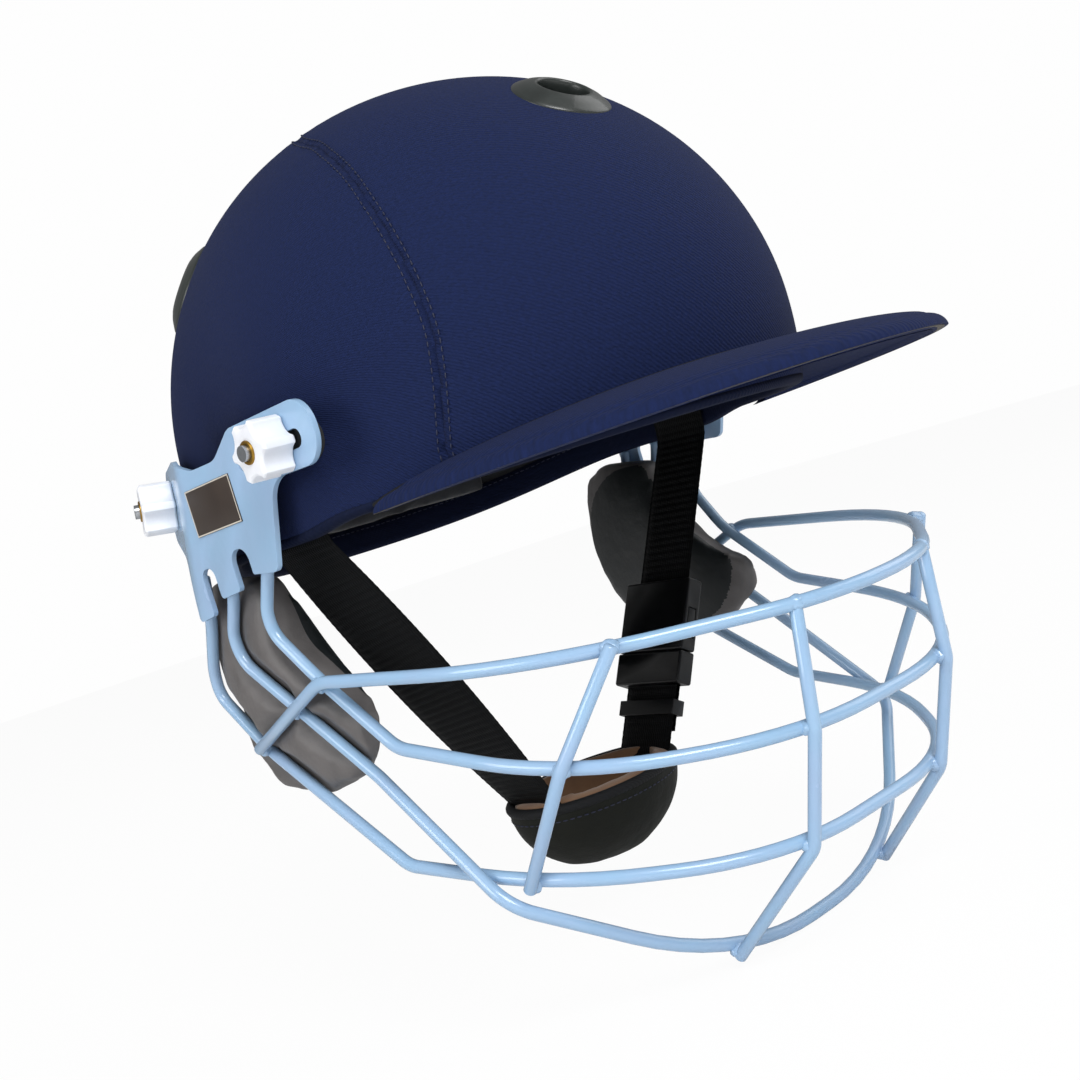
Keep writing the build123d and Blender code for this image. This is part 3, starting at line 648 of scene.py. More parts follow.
def modify(piece, *modifiers):
    """Makes the result of modifiers, each a kind and its settings, the piece's own mesh."""
    for kind, settings in modifiers:
        modifier = piece.modifiers.new(kind.lower(), kind)
        for name, value in settings.items():
            setattr(modifier, name, value)
    plain(piece)


def tree_of(points):
    """A tree that finds the nearest of some points."""
    tree = KDTree(len(points))
    for place, point in enumerate(points):
        tree.insert(point, place)
    tree.balance()
    return tree


def circle(centre, side, up, radius, count):
    """Points round a circle."""
    return [centre + (side * math.cos(turn) + up * math.sin(turn)) * radius
            for turn in (math.tau * spot / count for spot in range(count))]


def sweep(path, rings, closed=False):
    """A skin through one ring of points at each place of a path, its length and width as UV."""
    mesh = bmesh.new()
    layer = mesh.loops.layers.uv.new("UVMap")
    verts = [[mesh.verts.new(point) for point in ring] for ring in rings]
    along = [0.0]
    for before, after in zip(path, path[1:]):
        along.append(along[-1] + (after - before).length)
    across = [0.0]
    for before, after in zip(rings[0], rings[0][1:] + rings[0][:1]):
        across.append(across[-1] + (after - before).length)
    for place in range(len(verts) if closed else len(verts) - 1):
        after = (place + 1) % len(verts)
        low, high = along[place], along[after] if after else along[-1]
        for spot in range(len(verts[0])):
            beside = (spot + 1) % len(verts[0])
            face = mesh.faces.new((verts[place][spot], verts[after][spot],
                                   verts[after][beside], verts[place][beside]))
            corners = ((low, across[spot]), (high, across[spot]),
                       (high, across[spot + 1]), (low, across[spot + 1]))
            for loop, corner in zip(face.loops, corners):
                loop[layer].uv = corner
    if not closed:
        mesh.faces.new(verts[0])
        mesh.faces.new(verts[-1][::-1])
    bmesh.ops.recalc_face_normals(mesh, faces=mesh.faces)
    return mesh


def frames(path, closed=False):
    """At each point of a path, two unit vectors square to it that turn as little as they can."""
    tangents = []
    for place in range(len(path)):
        before = path[place - 1] if closed or place else path[place]
        after = path[(place + 1) % len(path)] if closed or place < len(path) - 1 else path[place]
        tangents.append((after - before).normalized())
    side = tangents[0].orthogonal().normalized()
    result = []
    for tangent in tangents:
        side = (side - tangent * side.dot(tangent)).normalized()
        result.append((side, tangent.cross(side)))
    return result


def tube(path, radius, sides=20):
    """A round wire along a path, with rounded ends."""
    rings = [circle(point, side, up, radius, sides)
             for point, (side, up) in zip(path, frames(path))]
    tips = []
    for end, step in ((0, 1), (-1, -1)):
        away = (path[end] - path[end + step]).normalized() * TIP_DOME * radius
        tip = []
        for share in TIP_SHARES:
            shrink = math.sqrt(1 - (share * TIP_NARROWING) ** 2)
            tip.append([path[end] + (point - path[end]) * shrink + away * share
                        for point in rings[end]])
        tips.append(tip)
    rings = tips[0][::-1] + rings + tips[1]
    return sweep([sum(ring, Vector()) / sides for ring in rings], rings)


def rounded_run(corners, radii, step=math.radians(5)):
    """Points along straight runs joined by arcs, as the wire bender makes them."""
    spots = [Vector(corner) for corner in corners]
    points = [spots[0]]
    for place in range(1, len(spots) - 1):
        before = spots[place - 1] - spots[place]
        after = spots[place + 1] - spots[place]
        turn = math.pi - before.angle(after)
        fitting = BEND_SHARE * min(before.length, after.length) / math.tan(turn / 2)
        radius = min(fitting, radii[place])
        if turn < LEAST_TURN or radius <= 0:
            points.append(spots[place])
            continue
        inset = radius * math.tan(turn / 2)
        start = spots[place] + before.normalized() * inset
        end = spots[place] + after.normalized() * inset
        middle = (before.normalized() + after.normalized()).normalized()
        centre = spots[place] + middle * radius / math.cos(turn / 2)
        arm = start - centre
        square = (end - centre) - arm * ((end - centre).dot(arm) / arm.length_squared)
        square = square.normalized() * radius
        count = max(2, math.ceil(turn / step))
        for part in range(count + 1):
            angle = turn * part / count
            points.append(centre + arm * math.cos(angle) + square * math.sin(angle))
    points.append(spots[-1])
    return points


def nearest(first, second):
    """The points where two paths come nearest to each other."""
    pairs = (segment_pair(start, end, low, high) for start, end in zip(first, first[1:])
             for low, high in zip(second, second[1:]))
    return min(pairs, key=lambda pair: (pair[0] - pair[1]).length)


def segment_pair(start, end, low, high):
    """The nearest points of two straight pieces."""
    along, beside, apart = end - start, high - low, start - low
    a, b, c = along.dot(along), along.dot(beside), beside.dot(beside)
    d, e = along.dot(apart), beside.dot(apart)
    base = a * c - b * b
    share = min(max((b * e - c * d) / base, 0.0), 1.0) if base > PARALLEL else 0.0
    other = min(max((b * share + e) / c, 0.0), 1.0)
    share = min(max((b * other - d) / a, 0.0), 1.0)
    return start + along * share, low + beside * other


def at_x(path, x):
    """The point where a bar's left half reaches one x, and its direction there."""
    middle = len(path) // 2
    for place in range(middle, len(path) - 1):
        before, after = path[place], path[place + 1]
        if before.x <= x < after.x:
            share = (x - before.x) / (after.x - before.x)
            return before.lerp(after, share), (after - before).normalized()
    return path[-1], (path[-1] - path[-2]).normalized()


def bar_paths():
    """The centre line of each bar, from the right side plate to the left one."""
    paths = {}
    for name, shares in BARS.items():
        half = [(x * GUARD_HALF_WIDTH, y * GUARD_REACH, z * GUARD_DROP)
                for x, y, z, radius in shares]
        radii = [radius * GUARD_REACH for x, y, z, radius in shares]
        corners = [(-x, y, z) for x, y, z in half] + half[::-1]
        paths[name] = rounded_run(corners, radii + radii[::-1])
    return paths


def upright_path(bars, kind):
    """The centre line of a left upright, laid on the outside of the bars that it crosses."""
    stations = UPRIGHTS[kind]
    names = list(BARS)[:len(stations)]
    found = [at_x(bars[name], x) for name, x in zip(names, stations)]
    spots = [point for point, direction in found]
    gap = (BAR_WIRE + UPRIGHT_WIRE) / 2 - WELD_BITE
    points = []
    for place, (point, direction) in enumerate(found):
        along = spots[min(place + 1, len(spots) - 1)] - spots[max(place - 1, 0)]
        away = direction.cross(along).normalized()
        if away.dot(Vector((point.x, point.y, 0))) < 0:
            away = -away
        points.append(point + away * gap)
    points[-1] = points[-1] + (points[-1] - points[-2]).normalized() * UPRIGHT_STUB
    if kind == "centre_upright":
        points[0] = spots[0]
    else:
        points[0] = points[0] + (points[0] - points[1]).normalized() * UPRIGHT_STUB
    return rounded_run(points, [UPRIGHT_BEND] * len(points)), spots


def mirrored(points, way):
    """Points on the left for way 1, or their mirror image on the right for way -1."""
    return [Vector((point.x * way, point.y, point.z)) for point in points]


def stitch_tree():
    """Geometry nodes that lay stitches along a curve."""
    tree = bpy.data.node_groups.new("stitch_row", "GeometryNodeTree")
    tree.interface.new_socket("Rows", in_out="INPUT", socket_type="NodeSocketGeometry")
    for name in ("Pitch", "Length", "Thickness"):
        tree.interface.new_socket(name, in_out="INPUT", socket_type="NodeSocketFloat")
    tree.interface.new_socket("Thread", in_out="INPUT", socket_type="NodeSocketMaterial")
    tree.interface.new_socket("Stitches", in_out="OUTPUT", socket_type="NodeSocketGeometry")
    given = add(tree, "NodeGroupInput")
    rows = add(tree, "GeometryNodeResampleCurve", {"mode": "LENGTH"},
               {"Curve": given.outputs["Rows"], "Length": given.outputs["Pitch"]})
    half, width = (add(tree, "ShaderNodeMath", {"operation": "MULTIPLY"},
                       {0: given.outputs[name], 1: 0.5}) for name in ("Length", "Thickness"))
    bead = add(tree, "GeometryNodeMeshUVSphere", inputs={"Segments": 8, "Rings": 6, "Radius": 1.0})
    size = add(tree, "ShaderNodeCombineXYZ",
               inputs={"X": width.outputs[0], "Y": width.outputs[0], "Z": half.outputs[0]})
    stitch = add(tree, "GeometryNodeTransform",
                 inputs={"Geometry": bead.outputs["Mesh"], "Scale": size.outputs[0]})
    along = add(tree, "GeometryNodeInputTangent")
    turn = add(tree, "FunctionNodeAlignRotationToVector", {"axis": "Z"},
               {"Vector": along.outputs[0]})
    laid = add(tree, "GeometryNodeInstanceOnPoints",
               inputs={"Points": rows.outputs["Curve"], "Instance": stitch.outputs["Geometry"],
                       "Rotation": turn.outputs[0]})
    real = add(tree, "GeometryNodeRealizeInstances",
               inputs={"Geometry": laid.outputs["Instances"]})
    shaded = add(tree, "GeometryNodeSetShadeSmooth", inputs={"Geometry": real.outputs["Geometry"]})
    dyed = add(tree, "GeometryNodeSetMaterial",
               inputs={"Geometry": shaded.outputs["Geometry"], "Material": given.outputs["Thread"]})
    add(tree, "NodeGroupOutput", inputs={"Stitches": dyed.outputs["Geometry"]})
    return tree


def stitched(name, rows, body, sizes):
    """Rows of stitches along lists of points."""
    line = bpy.data.curves.new(name, "CURVE")
    line.dimensions = "3D"
    for row in rows:
        spline = line.splines.new("POLY")
        spline.points.add(len(row) - 1)
        for point, place in zip(spline.points, row):
            point.co = (*place, 1.0)
    piece = shown(name, line)
    modifier = piece.modifiers.new("stitches", "NODES")
    modifier.node_group = bpy.data.node_groups.get("stitch_row") or stitch_tree()
    values = {"Pitch": sizes.stitch_pitch, "Length": sizes.stitch_length,
              "Thickness": sizes.thread_thickness, "Thread": MATERIALS["thread"]}
    for item in modifier.node_group.interface.items_tree:
        if item.name in values:
            modifier[item.identifier] = values[item.name]
    made = plain(piece)
    made.name = name
    dress(made, body)


def node_copy(node):
    """A clean, merged copy of a CAD node's mesh."""
    mesh = bmesh.new()
    mesh.from_mesh(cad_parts[node].data)
    mesh.transform(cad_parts[node].matrix_world)
    bmesh.ops.remove_doubles(mesh, verts=mesh.verts, dist=MERGE_GAP)
    for layer in mesh.loops.layers.uv.values():
        mesh.loops.layers.uv.remove(layer)
    return mesh


def eased(name, node, material, body, edge, segments=3):
    """A CAD node's shape with its edges rounded."""
    mesh = node_copy(node)
    bmesh.ops.dissolve_limit(mesh, angle_limit=FLAT_ANGLE, verts=mesh.verts, edges=mesh.edges)
    piece = finished(name, mesh, material, body, (node,))
    modify(piece, ("BEVEL", {"width": edge, "segments": segments, "limit_method": "ANGLE",
                             "angle_limit": BEVEL_ANGLE}))
    piece.data.set_sharp_from_angle(angle=SHARP_ANGLE)


def softened(name, node, material, body, hold, voxel, cap, rounds=2, form=None):
    """A foam piece in place of its CAD node: remeshed, swollen and held off its neighbours.

    hold(point) keeps a point where it may be, cap is how far it may move, rounds is how often the
    result is smoothed, and form(point) changes the node's shape first.
    """
    mesh = node_copy(node)
    if form:
        for vert in mesh.verts:
            vert.co = form(vert.co)
    piece = finished(name, mesh, material, body, (node,))
    modify(piece, ("REMESH", {"mode": "VOXEL", "voxel_size": voxel}))
    rest = [vert.co.copy() for vert in piece.data.vertices]
    swell(piece)
    for vert, place in zip(piece.data.vertices, rest):
        moved = vert.co - place
        if moved.length > cap:
            moved = moved.normalized() * cap
        vert.co = hold(place + moved)
    modify(piece, ("SMOOTH", {"factor": 0.5, "iterations": rounds}), FINER)
    shade(piece.data)
    return piece


def swell(piece):
    """Blows a piece up with cloth under pressure and keeps the result in its mesh."""
    scene = bpy.context.scene
    cloth = piece.modifiers.new("swell", "CLOTH")
    cloth.settings.use_pressure = True
    cloth.settings.uniform_pressure_force = SWELL_PRESSURE
    cloth.settings.effector_weights.gravity = 0.0
    cloth.settings.quality = SWELL_QUALITY
    cloth.collision_settings.use_collision = False
    cloth.point_cache.frame_start = 1
    cloth.point_cache.frame_end = SWELL_FRAMES
    for step in range(1, SWELL_FRAMES + 1):
        scene.frame_set(step)
    plain(piece)
    scene.frame_set(1)


def inside_shell(point):
    """Keeps a point of the lining inside the shell."""
    level = dome_level(point, -SHELL_WALL - LINING_GAP)
    if level <= 1:
        return point
    middle = Vector((0, WIDEST_Y, WIDEST_Z))
    return middle + (point - middle) / level


def leaned(point):
    """A point of the chin strap, turned back round its rivets."""
    turn = Matrix.Rotation(math.radians(STRAP_LEAN), 3, "X")
    pivot = Vector((0, STRAP_ANCHOR[0], STRAP_ANCHOR[1]))
    return turn @ (Vector(point) - Vector((0, 0, STRAP_ANCHOR[1]))) + pivot


def strap_line():
    """The start, the direction and the length of the strap's straight run on the left side."""
    start = Vector((STRAP_TAB_X, 0, STRAP_TAB_FOOT))
    run = Vector((STRAP_FOOT[0], 0, STRAP_FOOT[1])) - start
    return start, run.normalized(), run.length


def webbing(name, node, path, way, twist, sizes):
    """Ribbed webbing along a path in the plane of the rivets."""
    length = sum((after - before).length for before, after in zip(path, path[1:]))
    points = []
    travelled = 0.0
    for before, after in zip(path, path[1:]):
        span = (after - before).length
        count = max(1, round(span / sizes.rib_pitch * RIB_PLACES))
        points += [(before.lerp(after, part / count), travelled + span * part / count)
                   for part in range(count)]
        travelled += span
    points.append((path[-1], travelled))
    half = WEBBING_THICKNESS / 2
    rings = []
    for place, (point, along) in enumerate(points):
        before = points[max(place - 1, 0)][0]
        after = points[min(place + 1, len(points) - 1)][0]
        tangent = (after - before).normalized()
        turn = math.radians(twist) * math.sin(math.pi * along / length)
        turn = Matrix.Rotation(turn, 3, tangent)
        up = turn @ Vector((-tangent.z, 0, tangent.x))
        across = turn @ Vector((0, WEBBING_WIDTH / 2, 0))
        rib = sizes.rib_depth * abs(math.sin(math.pi * along / sizes.rib_pitch))
        top, bottom = [], []
        for spot in range(WEBBING_SPREAD + 1):
            share = spot / WEBBING_SPREAD * 2 - 1
            full = math.sqrt(max(0.0, 1 - abs(share) ** SELVEDGE_SHAPE))
            raised = half * (SELVEDGE_THICKNESS + (1 - SELVEDGE_THICKNESS) * full)
            raised += rib * (1 if abs(share) < SELVEDGE_START else SELVEDGE_RIB) - sizes.rib_depth
            top.append(point + across * share + up * raised)
            bottom.append(point + across * share - up * raised)
        rings.append(mirrored([leaned(spot) for spot in top + bottom[::-1]], way))
    finished(name, sweep([point for point, along in points], rings), "webbing", "chin_strap",
             (node,))


def ellipse_ring(half_length, half_width, height, count=CUP_PLACES):
    """Points round an ellipse at a height of the chin cup."""
    return [leaned((half_length * math.cos(turn), half_width * math.sin(turn), height))
            for turn in (math.tau * place / count for place in range(count))]


class HelmetSizes(bpy.types.PropertyGroup):
    """Sizes that a user may change."""
    stitch_pitch: bpy.props.FloatProperty(
        name="Stitch pitch", description="Distance from one stitch to the next",
        default=2.6 * MM, unit="LENGTH")
    stitch_length: bpy.props.FloatProperty(
        name="Stitch length", description="Length of a stitch", default=1.9 * MM, unit="LENGTH")
    thread_thickness: bpy.props.FloatProperty(
        name="Thread", description="Thickness of the sewing thread",
        default=0.5 * MM, unit="LENGTH")
    seam_groove: bpy.props.FloatProperty(
        name="Seam groove", description="Depth of the groove along the panel seam",
        default=0.8 * MM, unit="LENGTH")
    pucker: bpy.props.FloatProperty(
        name="Pucker", description="Height of the small gathers beside the seam",
        default=0.22 * MM, unit="LENGTH")
    rib_pitch: bpy.props.FloatProperty(
        name="Rib pitch", description="Distance between the ribs of the webbing",
        default=2.9 * MM, unit="LENGTH")
    rib_depth: bpy.props.FloatProperty(
        name="Rib depth", description="Depth of the ribs of the webbing",
        default=0.45 * MM, unit="LENGTH")
    weld_bead: bpy.props.FloatProperty(
        name="Weld bead", description="Width of a weld between two wires",
        default=5.2 * MM, unit="LENGTH")
    plate_edge: bpy.props.FloatProperty(
        name="Plate edge", description="Radius that the enamel gives the plates' edges",
        default=0.5 * MM, unit="LENGTH")
    knob_edge: bpy.props.FloatProperty(
        name="Knob edge", description="Radius of the knobs' lobes and rims",
        default=0.9 * MM, unit="LENGTH")


class HelmetColours(bpy.types.PropertyGroup):
    """Colours that a user may change, as sRGB hex values."""
    cloth: bpy.props.StringProperty(
        name="Cloth", description="Cover cloth", default="#0d162e")
    cloth_worn: bpy.props.StringProperty(
        name="Worn cloth", description="Faded cover cloth", default="#1a2650")
    tape: bpy.props.StringProperty(
        name="Tape", description="Folded hem and binding", default="#11162c")
    enamel: bpy.props.StringProperty(
        name="Enamel", description="Wires and side plates", default="#8db6d4")
    enamel_shade: bpy.props.StringProperty(
        name="Enamel shade", description="Cooler patches", default="#9bb1d2")
    knob: bpy.props.StringProperty(
        name="Knob", description="Star knobs", default="#eef0f4")
    knob_shade: bpy.props.StringProperty(
        name="Knob shade", description="Soiled nylon", default="#dfe2ea")
    pad: bpy.props.StringProperty(
        name="Cheek pad", description="Coated cloth of the pads", default="#484646")
    pad_worn: bpy.props.StringProperty(
        name="Worn pad", description="Rubbed pad cloth", default="#6c6867")
    webbing: bpy.props.StringProperty(
        name="Webbing", description="Chin strap", default="#08090a")
    cup: bpy.props.StringProperty(
        name="Chin cup", description="Outside of the cup", default="#0e100d")
    suede: bpy.props.StringProperty(
        name="Suede", description="Lining of the cup", default="#765640")


def cover_grid():
    """The whole cover before it is cut, with the cloth's threads as UV."""
    mesh = bmesh.new()
    layer = mesh.loops.layers.uv.new("UVMap")
    rings = []
    for column in range(1, COVER_COLUMNS):
        across = math.pi * column / COVER_COLUMNS
        rings.append([mesh.verts.new(dome_point(across, math.tau * row / COVER_ROWS, COVER_WALL))
                      for row in range(COVER_ROWS)])
    poles = [mesh.verts.new(dome_point(across, 0.0, COVER_WALL)) for across in (0.0, math.pi)]
    width = SHELL_HALF_WIDTH * math.pi / COVER_COLUMNS
    length = (BROW_REACH + NAPE_REACH) / 2 * math.tau / COVER_ROWS
    for column in range(COVER_COLUMNS - 2):
        for row in range(COVER_ROWS):
            beside = (row + 1) % COVER_ROWS
            face = mesh.faces.new((rings[column][row], rings[column][beside],
                                   rings[column + 1][beside], rings[column + 1][row]))
            corners = ((column + 1, row), (column + 1, row + 1),
                       (column + 2, row + 1), (column + 2, row))
            for loop, (step, turn) in zip(face.loops, corners):
                loop[layer].uv = (width * step, length * turn)
    for row in range(COVER_ROWS):
        beside = (row + 1) % COVER_ROWS
        mesh.faces.new((poles[0], rings[0][beside], rings[0][row]))
        mesh.faces.new((poles[1], rings[-1][row], rings[-1][beside]))
    bmesh.ops.recalc_face_normals(mesh, faces=mesh.faces)
    return mesh


def cut_cover(front):
    """One panel of the cover, cut at the rim, the seam and the vents, and its seam's points."""
    mesh = cover_grid()
    trim(mesh, lambda point: point.z - rim_height(point.y))
    way = 1 if front else -1
    seam = trim(mesh, lambda point: way * (seam_y(point.z) - point.y))
    line = sorted((vert.co.copy() for vert in seam),
                  key=lambda point: math.atan2(point.z - SEAM_MIDDLE, point.x))
    for name in VENT_PLACES:
        place, axis = vent_seat(name)

        def past_vent(point):
            away = point - place
            if away.length >= VENT_FLANGE:
                return 1.0
            return (away - axis * away.dot(axis)).length - VENT_BORE / 2 - VENT_CLEARANCE
        trim(mesh, past_vent)
    return mesh, line


def even_line(points, gap):
    """A line's points thinned out to at least a gap apart."""
    kept = [points[0]]
    for point in points[1:]:
        if (point - kept[-1]).length >= gap:
            kept.append(point)
    return kept


class HELMET_OT_cover(bpy.types.Operator):
    """Sew the two cloth panels over the shell"""
    bl_idname = "helmet.cover"
    bl_label = "Cloth cover"

    def execute(self, context):
        sizes = context.scene.helmet_sizes
        rows = [self.panel(sizes, "front"), self.panel(sizes, "rear")]
        stitched("cover_stitches", rows, "helmet", sizes)
        return {"FINISHED"}

    def panel(self, sizes, end):
        """One stretched panel with its seam drawn in, and the points of its stitches."""
        mesh, line = cut_cover(end == "front")
        seam = even_line(line, SEAM_SPACING)
        tree = tree_of(seam)
        for vert in mesh.verts:
            place, gap = tree.find(vert.co)[1:]
            dip = sizes.seam_groove * math.exp(-(gap / GROOVE_WIDTH) ** 2)
            gather = sizes.pucker * math.exp(-gap / GATHER_REACH) * math.sin(place * GATHER_TURN)
            uneven = UNEVENNESS * noise.noise(vert.co * UNEVEN_SCALE)
            vert.co += outward(vert.co) * (gather + uneven - dip)
        area = sum(face.calc_area() for face in mesh.faces)
        piece = finished(end + "_cover_cloth", mesh, "twill", "helmet",
                         (end + "_cover_panel",))
        modify(piece, ("SOLIDIFY", {"thickness": COVER_WALL, "offset": -1.0}))
        side = -1 if end == "front" else 1
        row = []
        for before, point, after in zip(seam, seam[2:], seam[4:]):
            normal = outward(point)
            away = normal.cross((after - before).normalized())
            away = away if away.y * side > 0 else -away
            row.append(point + away * STITCH_INSET + normal * STITCH_RISE)
        return row


def peak_point(around, level, offset):
    """A point on the peak's upper surface moved outwards by offset."""
    point = Vector(((PEAK_HALF_WIDTH + offset) * math.cos(level) * math.cos(around),
                    (PEAK_REACH + offset) * math.cos(level) * math.sin(around),
                    (PEAK_RISE + offset) * math.sin(level)))
    return Matrix.Rotation(math.radians(-PEAK_TILT), 3, "X") @ point + Vector(PEAK_ROOT)


def peak_directions(overrun):
    """Directions round the peak from its right root to its left one, and on by an angle."""
    return [-math.pi - overrun + (math.pi + 2 * overrun) * column / PEAK_COLUMNS
            for column in range(PEAK_COLUMNS + 1)]


class HELMET_OT_peak(bpy.types.Operator):
    """Cover the peak's board with cloth and bind its edge"""
    bl_idname = "helmet.peak"
    bl_label = "Peak"

    def execute(self, context):
        piece = finished("peak_cloth", self.cloth(), "twill", "helmet",
                         ("peak_top_cover", "peak_under_cover", "peak_binding"))
        modify(piece, ("SOLIDIFY", {"thickness": PEAK_BOARD + 2 * COVER_WALL, "offset": 0.0}),
               ("BEVEL", {"width": PEAK_ROLL, "segments": 5, "limit_method": "ANGLE",
                          "angle_limit": PEAK_ROLL_ANGLE}))
        shade(piece.data)
        # A thin black tube of painted shade lies in the corner where the peak's cloth meets the
        # dome, darkening it as shade would
        finished("peak_root_painted_shade", tube(self.root(), PEAK_ROOT_SHADE_RADIUS, sides=10), "black_tape_and_painted_shade", "helmet")
        row = [peak_point(around, PEAK_STITCH_LEVEL, COVER_WALL + PEAK_STITCH_RISE)
               for around in peak_directions(PEAK_STITCH_OVERRUN)]
        row = [point for point in row if dome_level(point, COVER_WALL) > 1]
        stitched("peak_stitches", [row], "helmet", context.scene.helmet_sizes)
        give("peak_board", "board")
        return {"FINISHED"}

    def cloth(self):
        """The cloth's middle surface, grooved near its edge and cut where it meets the dome."""
        mesh = bmesh.new()
        grid = []
        for around in peak_directions(PEAK_OVERRUN):
            grid.append([])
            for row in range(PEAK_ROWS + 1):
                level = PEAK_TOP_LEVEL * (row / PEAK_ROWS) ** PEAK_ROW_SPREAD
                across = (level - PEAK_GROOVE_LEVEL) / PEAK_GROOVE_WIDTH
                depth = PEAK_BOARD / 2 + PEAK_GROOVE * math.exp(-across ** 2)
                grid[-1].append(mesh.verts.new(peak_point(around, level, -depth)))
        for column, beside in zip(grid, grid[1:]):
            for row in range(PEAK_ROWS):
                mesh.faces.new((column[row], beside[row], beside[row + 1], column[row + 1]))
        trim(mesh, lambda point: dome_level(point, COVER_WALL - PEAK_BITE) - 1)
        bmesh.ops.recalc_face_normals(mesh, faces=mesh.faces)
        for vert in mesh.verts:
            vert.co.z += PEAK_WAVE * noise.noise(vert.co * PEAK_WAVE_SCALE)
        layer = mesh.loops.layers.uv.new("UVMap")
        for face in mesh.faces:
            for loop in face.loops:
                loop[layer].uv = loop.vert.co.xy
        return mesh

    def root(self):
        """Points where the peak's upper cloth meets the dome, short of the two ends."""
        points = []
        for around in peak_directions(0.0):
            def rising(level):
                return peak_point(around, level, COVER_WALL)
            if dome_level(rising(0.0), COVER_WALL) >= 1:
                points.append(dome_edge(rising, PEAK_INNER_LEVEL, 0.0, COVER_WALL))
        return points[2:-2]


def rim_point(turn, offset, rise):
    """The point of the rim in one direction, moved outwards from the shell and up."""
    def spoke(reach):
        y = WIDEST_Y + reach * math.sin(turn)
        return Vector((reach * math.cos(turn), y, rim_height(y) + rise))
    return dome_edge(spoke, *RIM_REACHES, offset)


class HELMET_OT_hem(bpy.types.Operator):
    """Turn the cover's hem round the rim of the shell"""
    bl_idname = "helmet.hem"
    bl_label = "Hem"

    def execute(self, context):
        turns = [math.tau * place / HEM_PLACES for place in range(HEM_PLACES)]
        rings = [[rim_point(turn, out * MM, rise * MM) for out, rise in HEM_PROFILE]
                 for turn in turns]
        line = [rim_point(turn, 0.0, 0.0) for turn in turns]
        finished("rim_hem", sweep(line, rings, closed=True), "tape", "helmet",
                 ("rim_binding",))
        row = [rim_point(turn, *HEM_STITCHES) for turn in turns]
        stitched("hem_stitches", [row + row[:1]], "helmet",
                 context.scene.helmet_sizes)
        return {"FINISHED"}


class HELMET_OT_lining(bpy.types.Operator):
    """Stuff the foam pads and give the shell its plastic"""
    bl_idname = "helmet.lining"
    bl_label = "Shell and lining"

    def execute(self, context):
        give("shell", "shell")
        for node, name in (("front_pad", "brow_cushion"), ("rear_pad", "nape_cushion"),
                           ("crown_pad", "crown_cushion"),
                           ("side_pad_right", "temple_cushion_right"),
                           ("side_pad_left", "temple_cushion_left")):
            softened(name, node, "lining", "helmet", inside_shell, voxel=4 * MM,
                     cap=3 * MM)
        softened("sweatband_towel", "sweatband", "towelling", "helmet", inside_shell,
                 voxel=1.6 * MM, cap=1.2 * MM, rounds=3)
        return {"FINISHED"}


class HELMET_OT_vents(bpy.types.Operator):
    """Press the three vent eyelets"""
    bl_idname = "helmet.vents"
    bl_label = "Vent eyelets"

    def execute(self, context):
        bore, flange = VENT_BORE / 2, VENT_FLANGE / 2
        profile = ([(bore + out * MM, height * MM) for out, height in VENT_LIP]
                   + [(flange - inset * MM, height * MM) for inset, height in VENT_EDGE]
                   + [(bore + out * MM, height * MM) for out, height in VENT_BACK])
        middle = Vector((0, WIDEST_Y, WIDEST_Z))
        for name in VENT_PLACES:
            place, axis = vent_seat(name)
            side = axis.orthogonal().normalized()
            rings = []
            for foot in circle(Vector(), side, axis.cross(side), 1.0, VENT_TURNS):
                ring = []
                for radius, height in profile:
                    point = place + foot * radius
                    drop = (point - middle) * (1 / dome_level(point, COVER_WALL) - 1)
                    seated = drop.dot(axis) if radius > bore + VENT_SEATED else 0.0
                    ring.append(point + axis * (height + seated))
                rings.append(ring)
            skin = sweep([ring[0] for ring in rings], rings, closed=True)
            modify(finished(name + "_eyelet", skin, "gunmetal", "helmet",
                            (name,)), FINER)
        give("vent_retainers", "gunmetal")
        return {"FINISHED"}


class HELMET_OT_side_plates(bpy.types.Operator):
    """Enamel the bent side plates and stick on their bare labels"""
    bl_idname = "helmet.side_plates"
    bl_label = "Side plates"

    def execute(self, context):
        sizes = context.scene.helmet_sizes
        for side in SIDES:
            eased("side_plate_sheet_" + side, "side_plate_" + side, "enamel", "face_guard",
                  sizes.plate_edge, segments=4)
            eased("bare_label_" + side, "label_" + side, "label", "face_guard",
                  LABEL_EDGE, segments=2)
            self.border(side)
        return {"FINISHED"}

    def border(self, side):
        """A thin pale border round the label."""
        low, high = (Vector(corner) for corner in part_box("label_" + side))
        x = high.x if SIDES[side] > 0 else low.x
        out = SIDES[side] * LABEL_BORDER_RISE
        middle = (low + high) / 2
        corners = [Vector((x, y, z)) for y, z in
                   ((low.y, low.z), (high.y, low.z), (high.y, high.z), (low.y, high.z))]
        rings = []
        for corner in corners:
            step = Vector((0, math.copysign(1, middle.y - corner.y),
                           math.copysign(1, middle.z - corner.z)))
            rings.append([corner + step * inset + Vector((rise, 0, 0)) for inset, rise in
                          ((LABEL_EDGE, -out), (LABEL_EDGE, out),
                           (LABEL_BORDER, out), (LABEL_BORDER, -out))])
        finished("label_border_" + side, sweep(corners, rings, closed=True), "label_edge",
                 "face_guard", smooth=False)


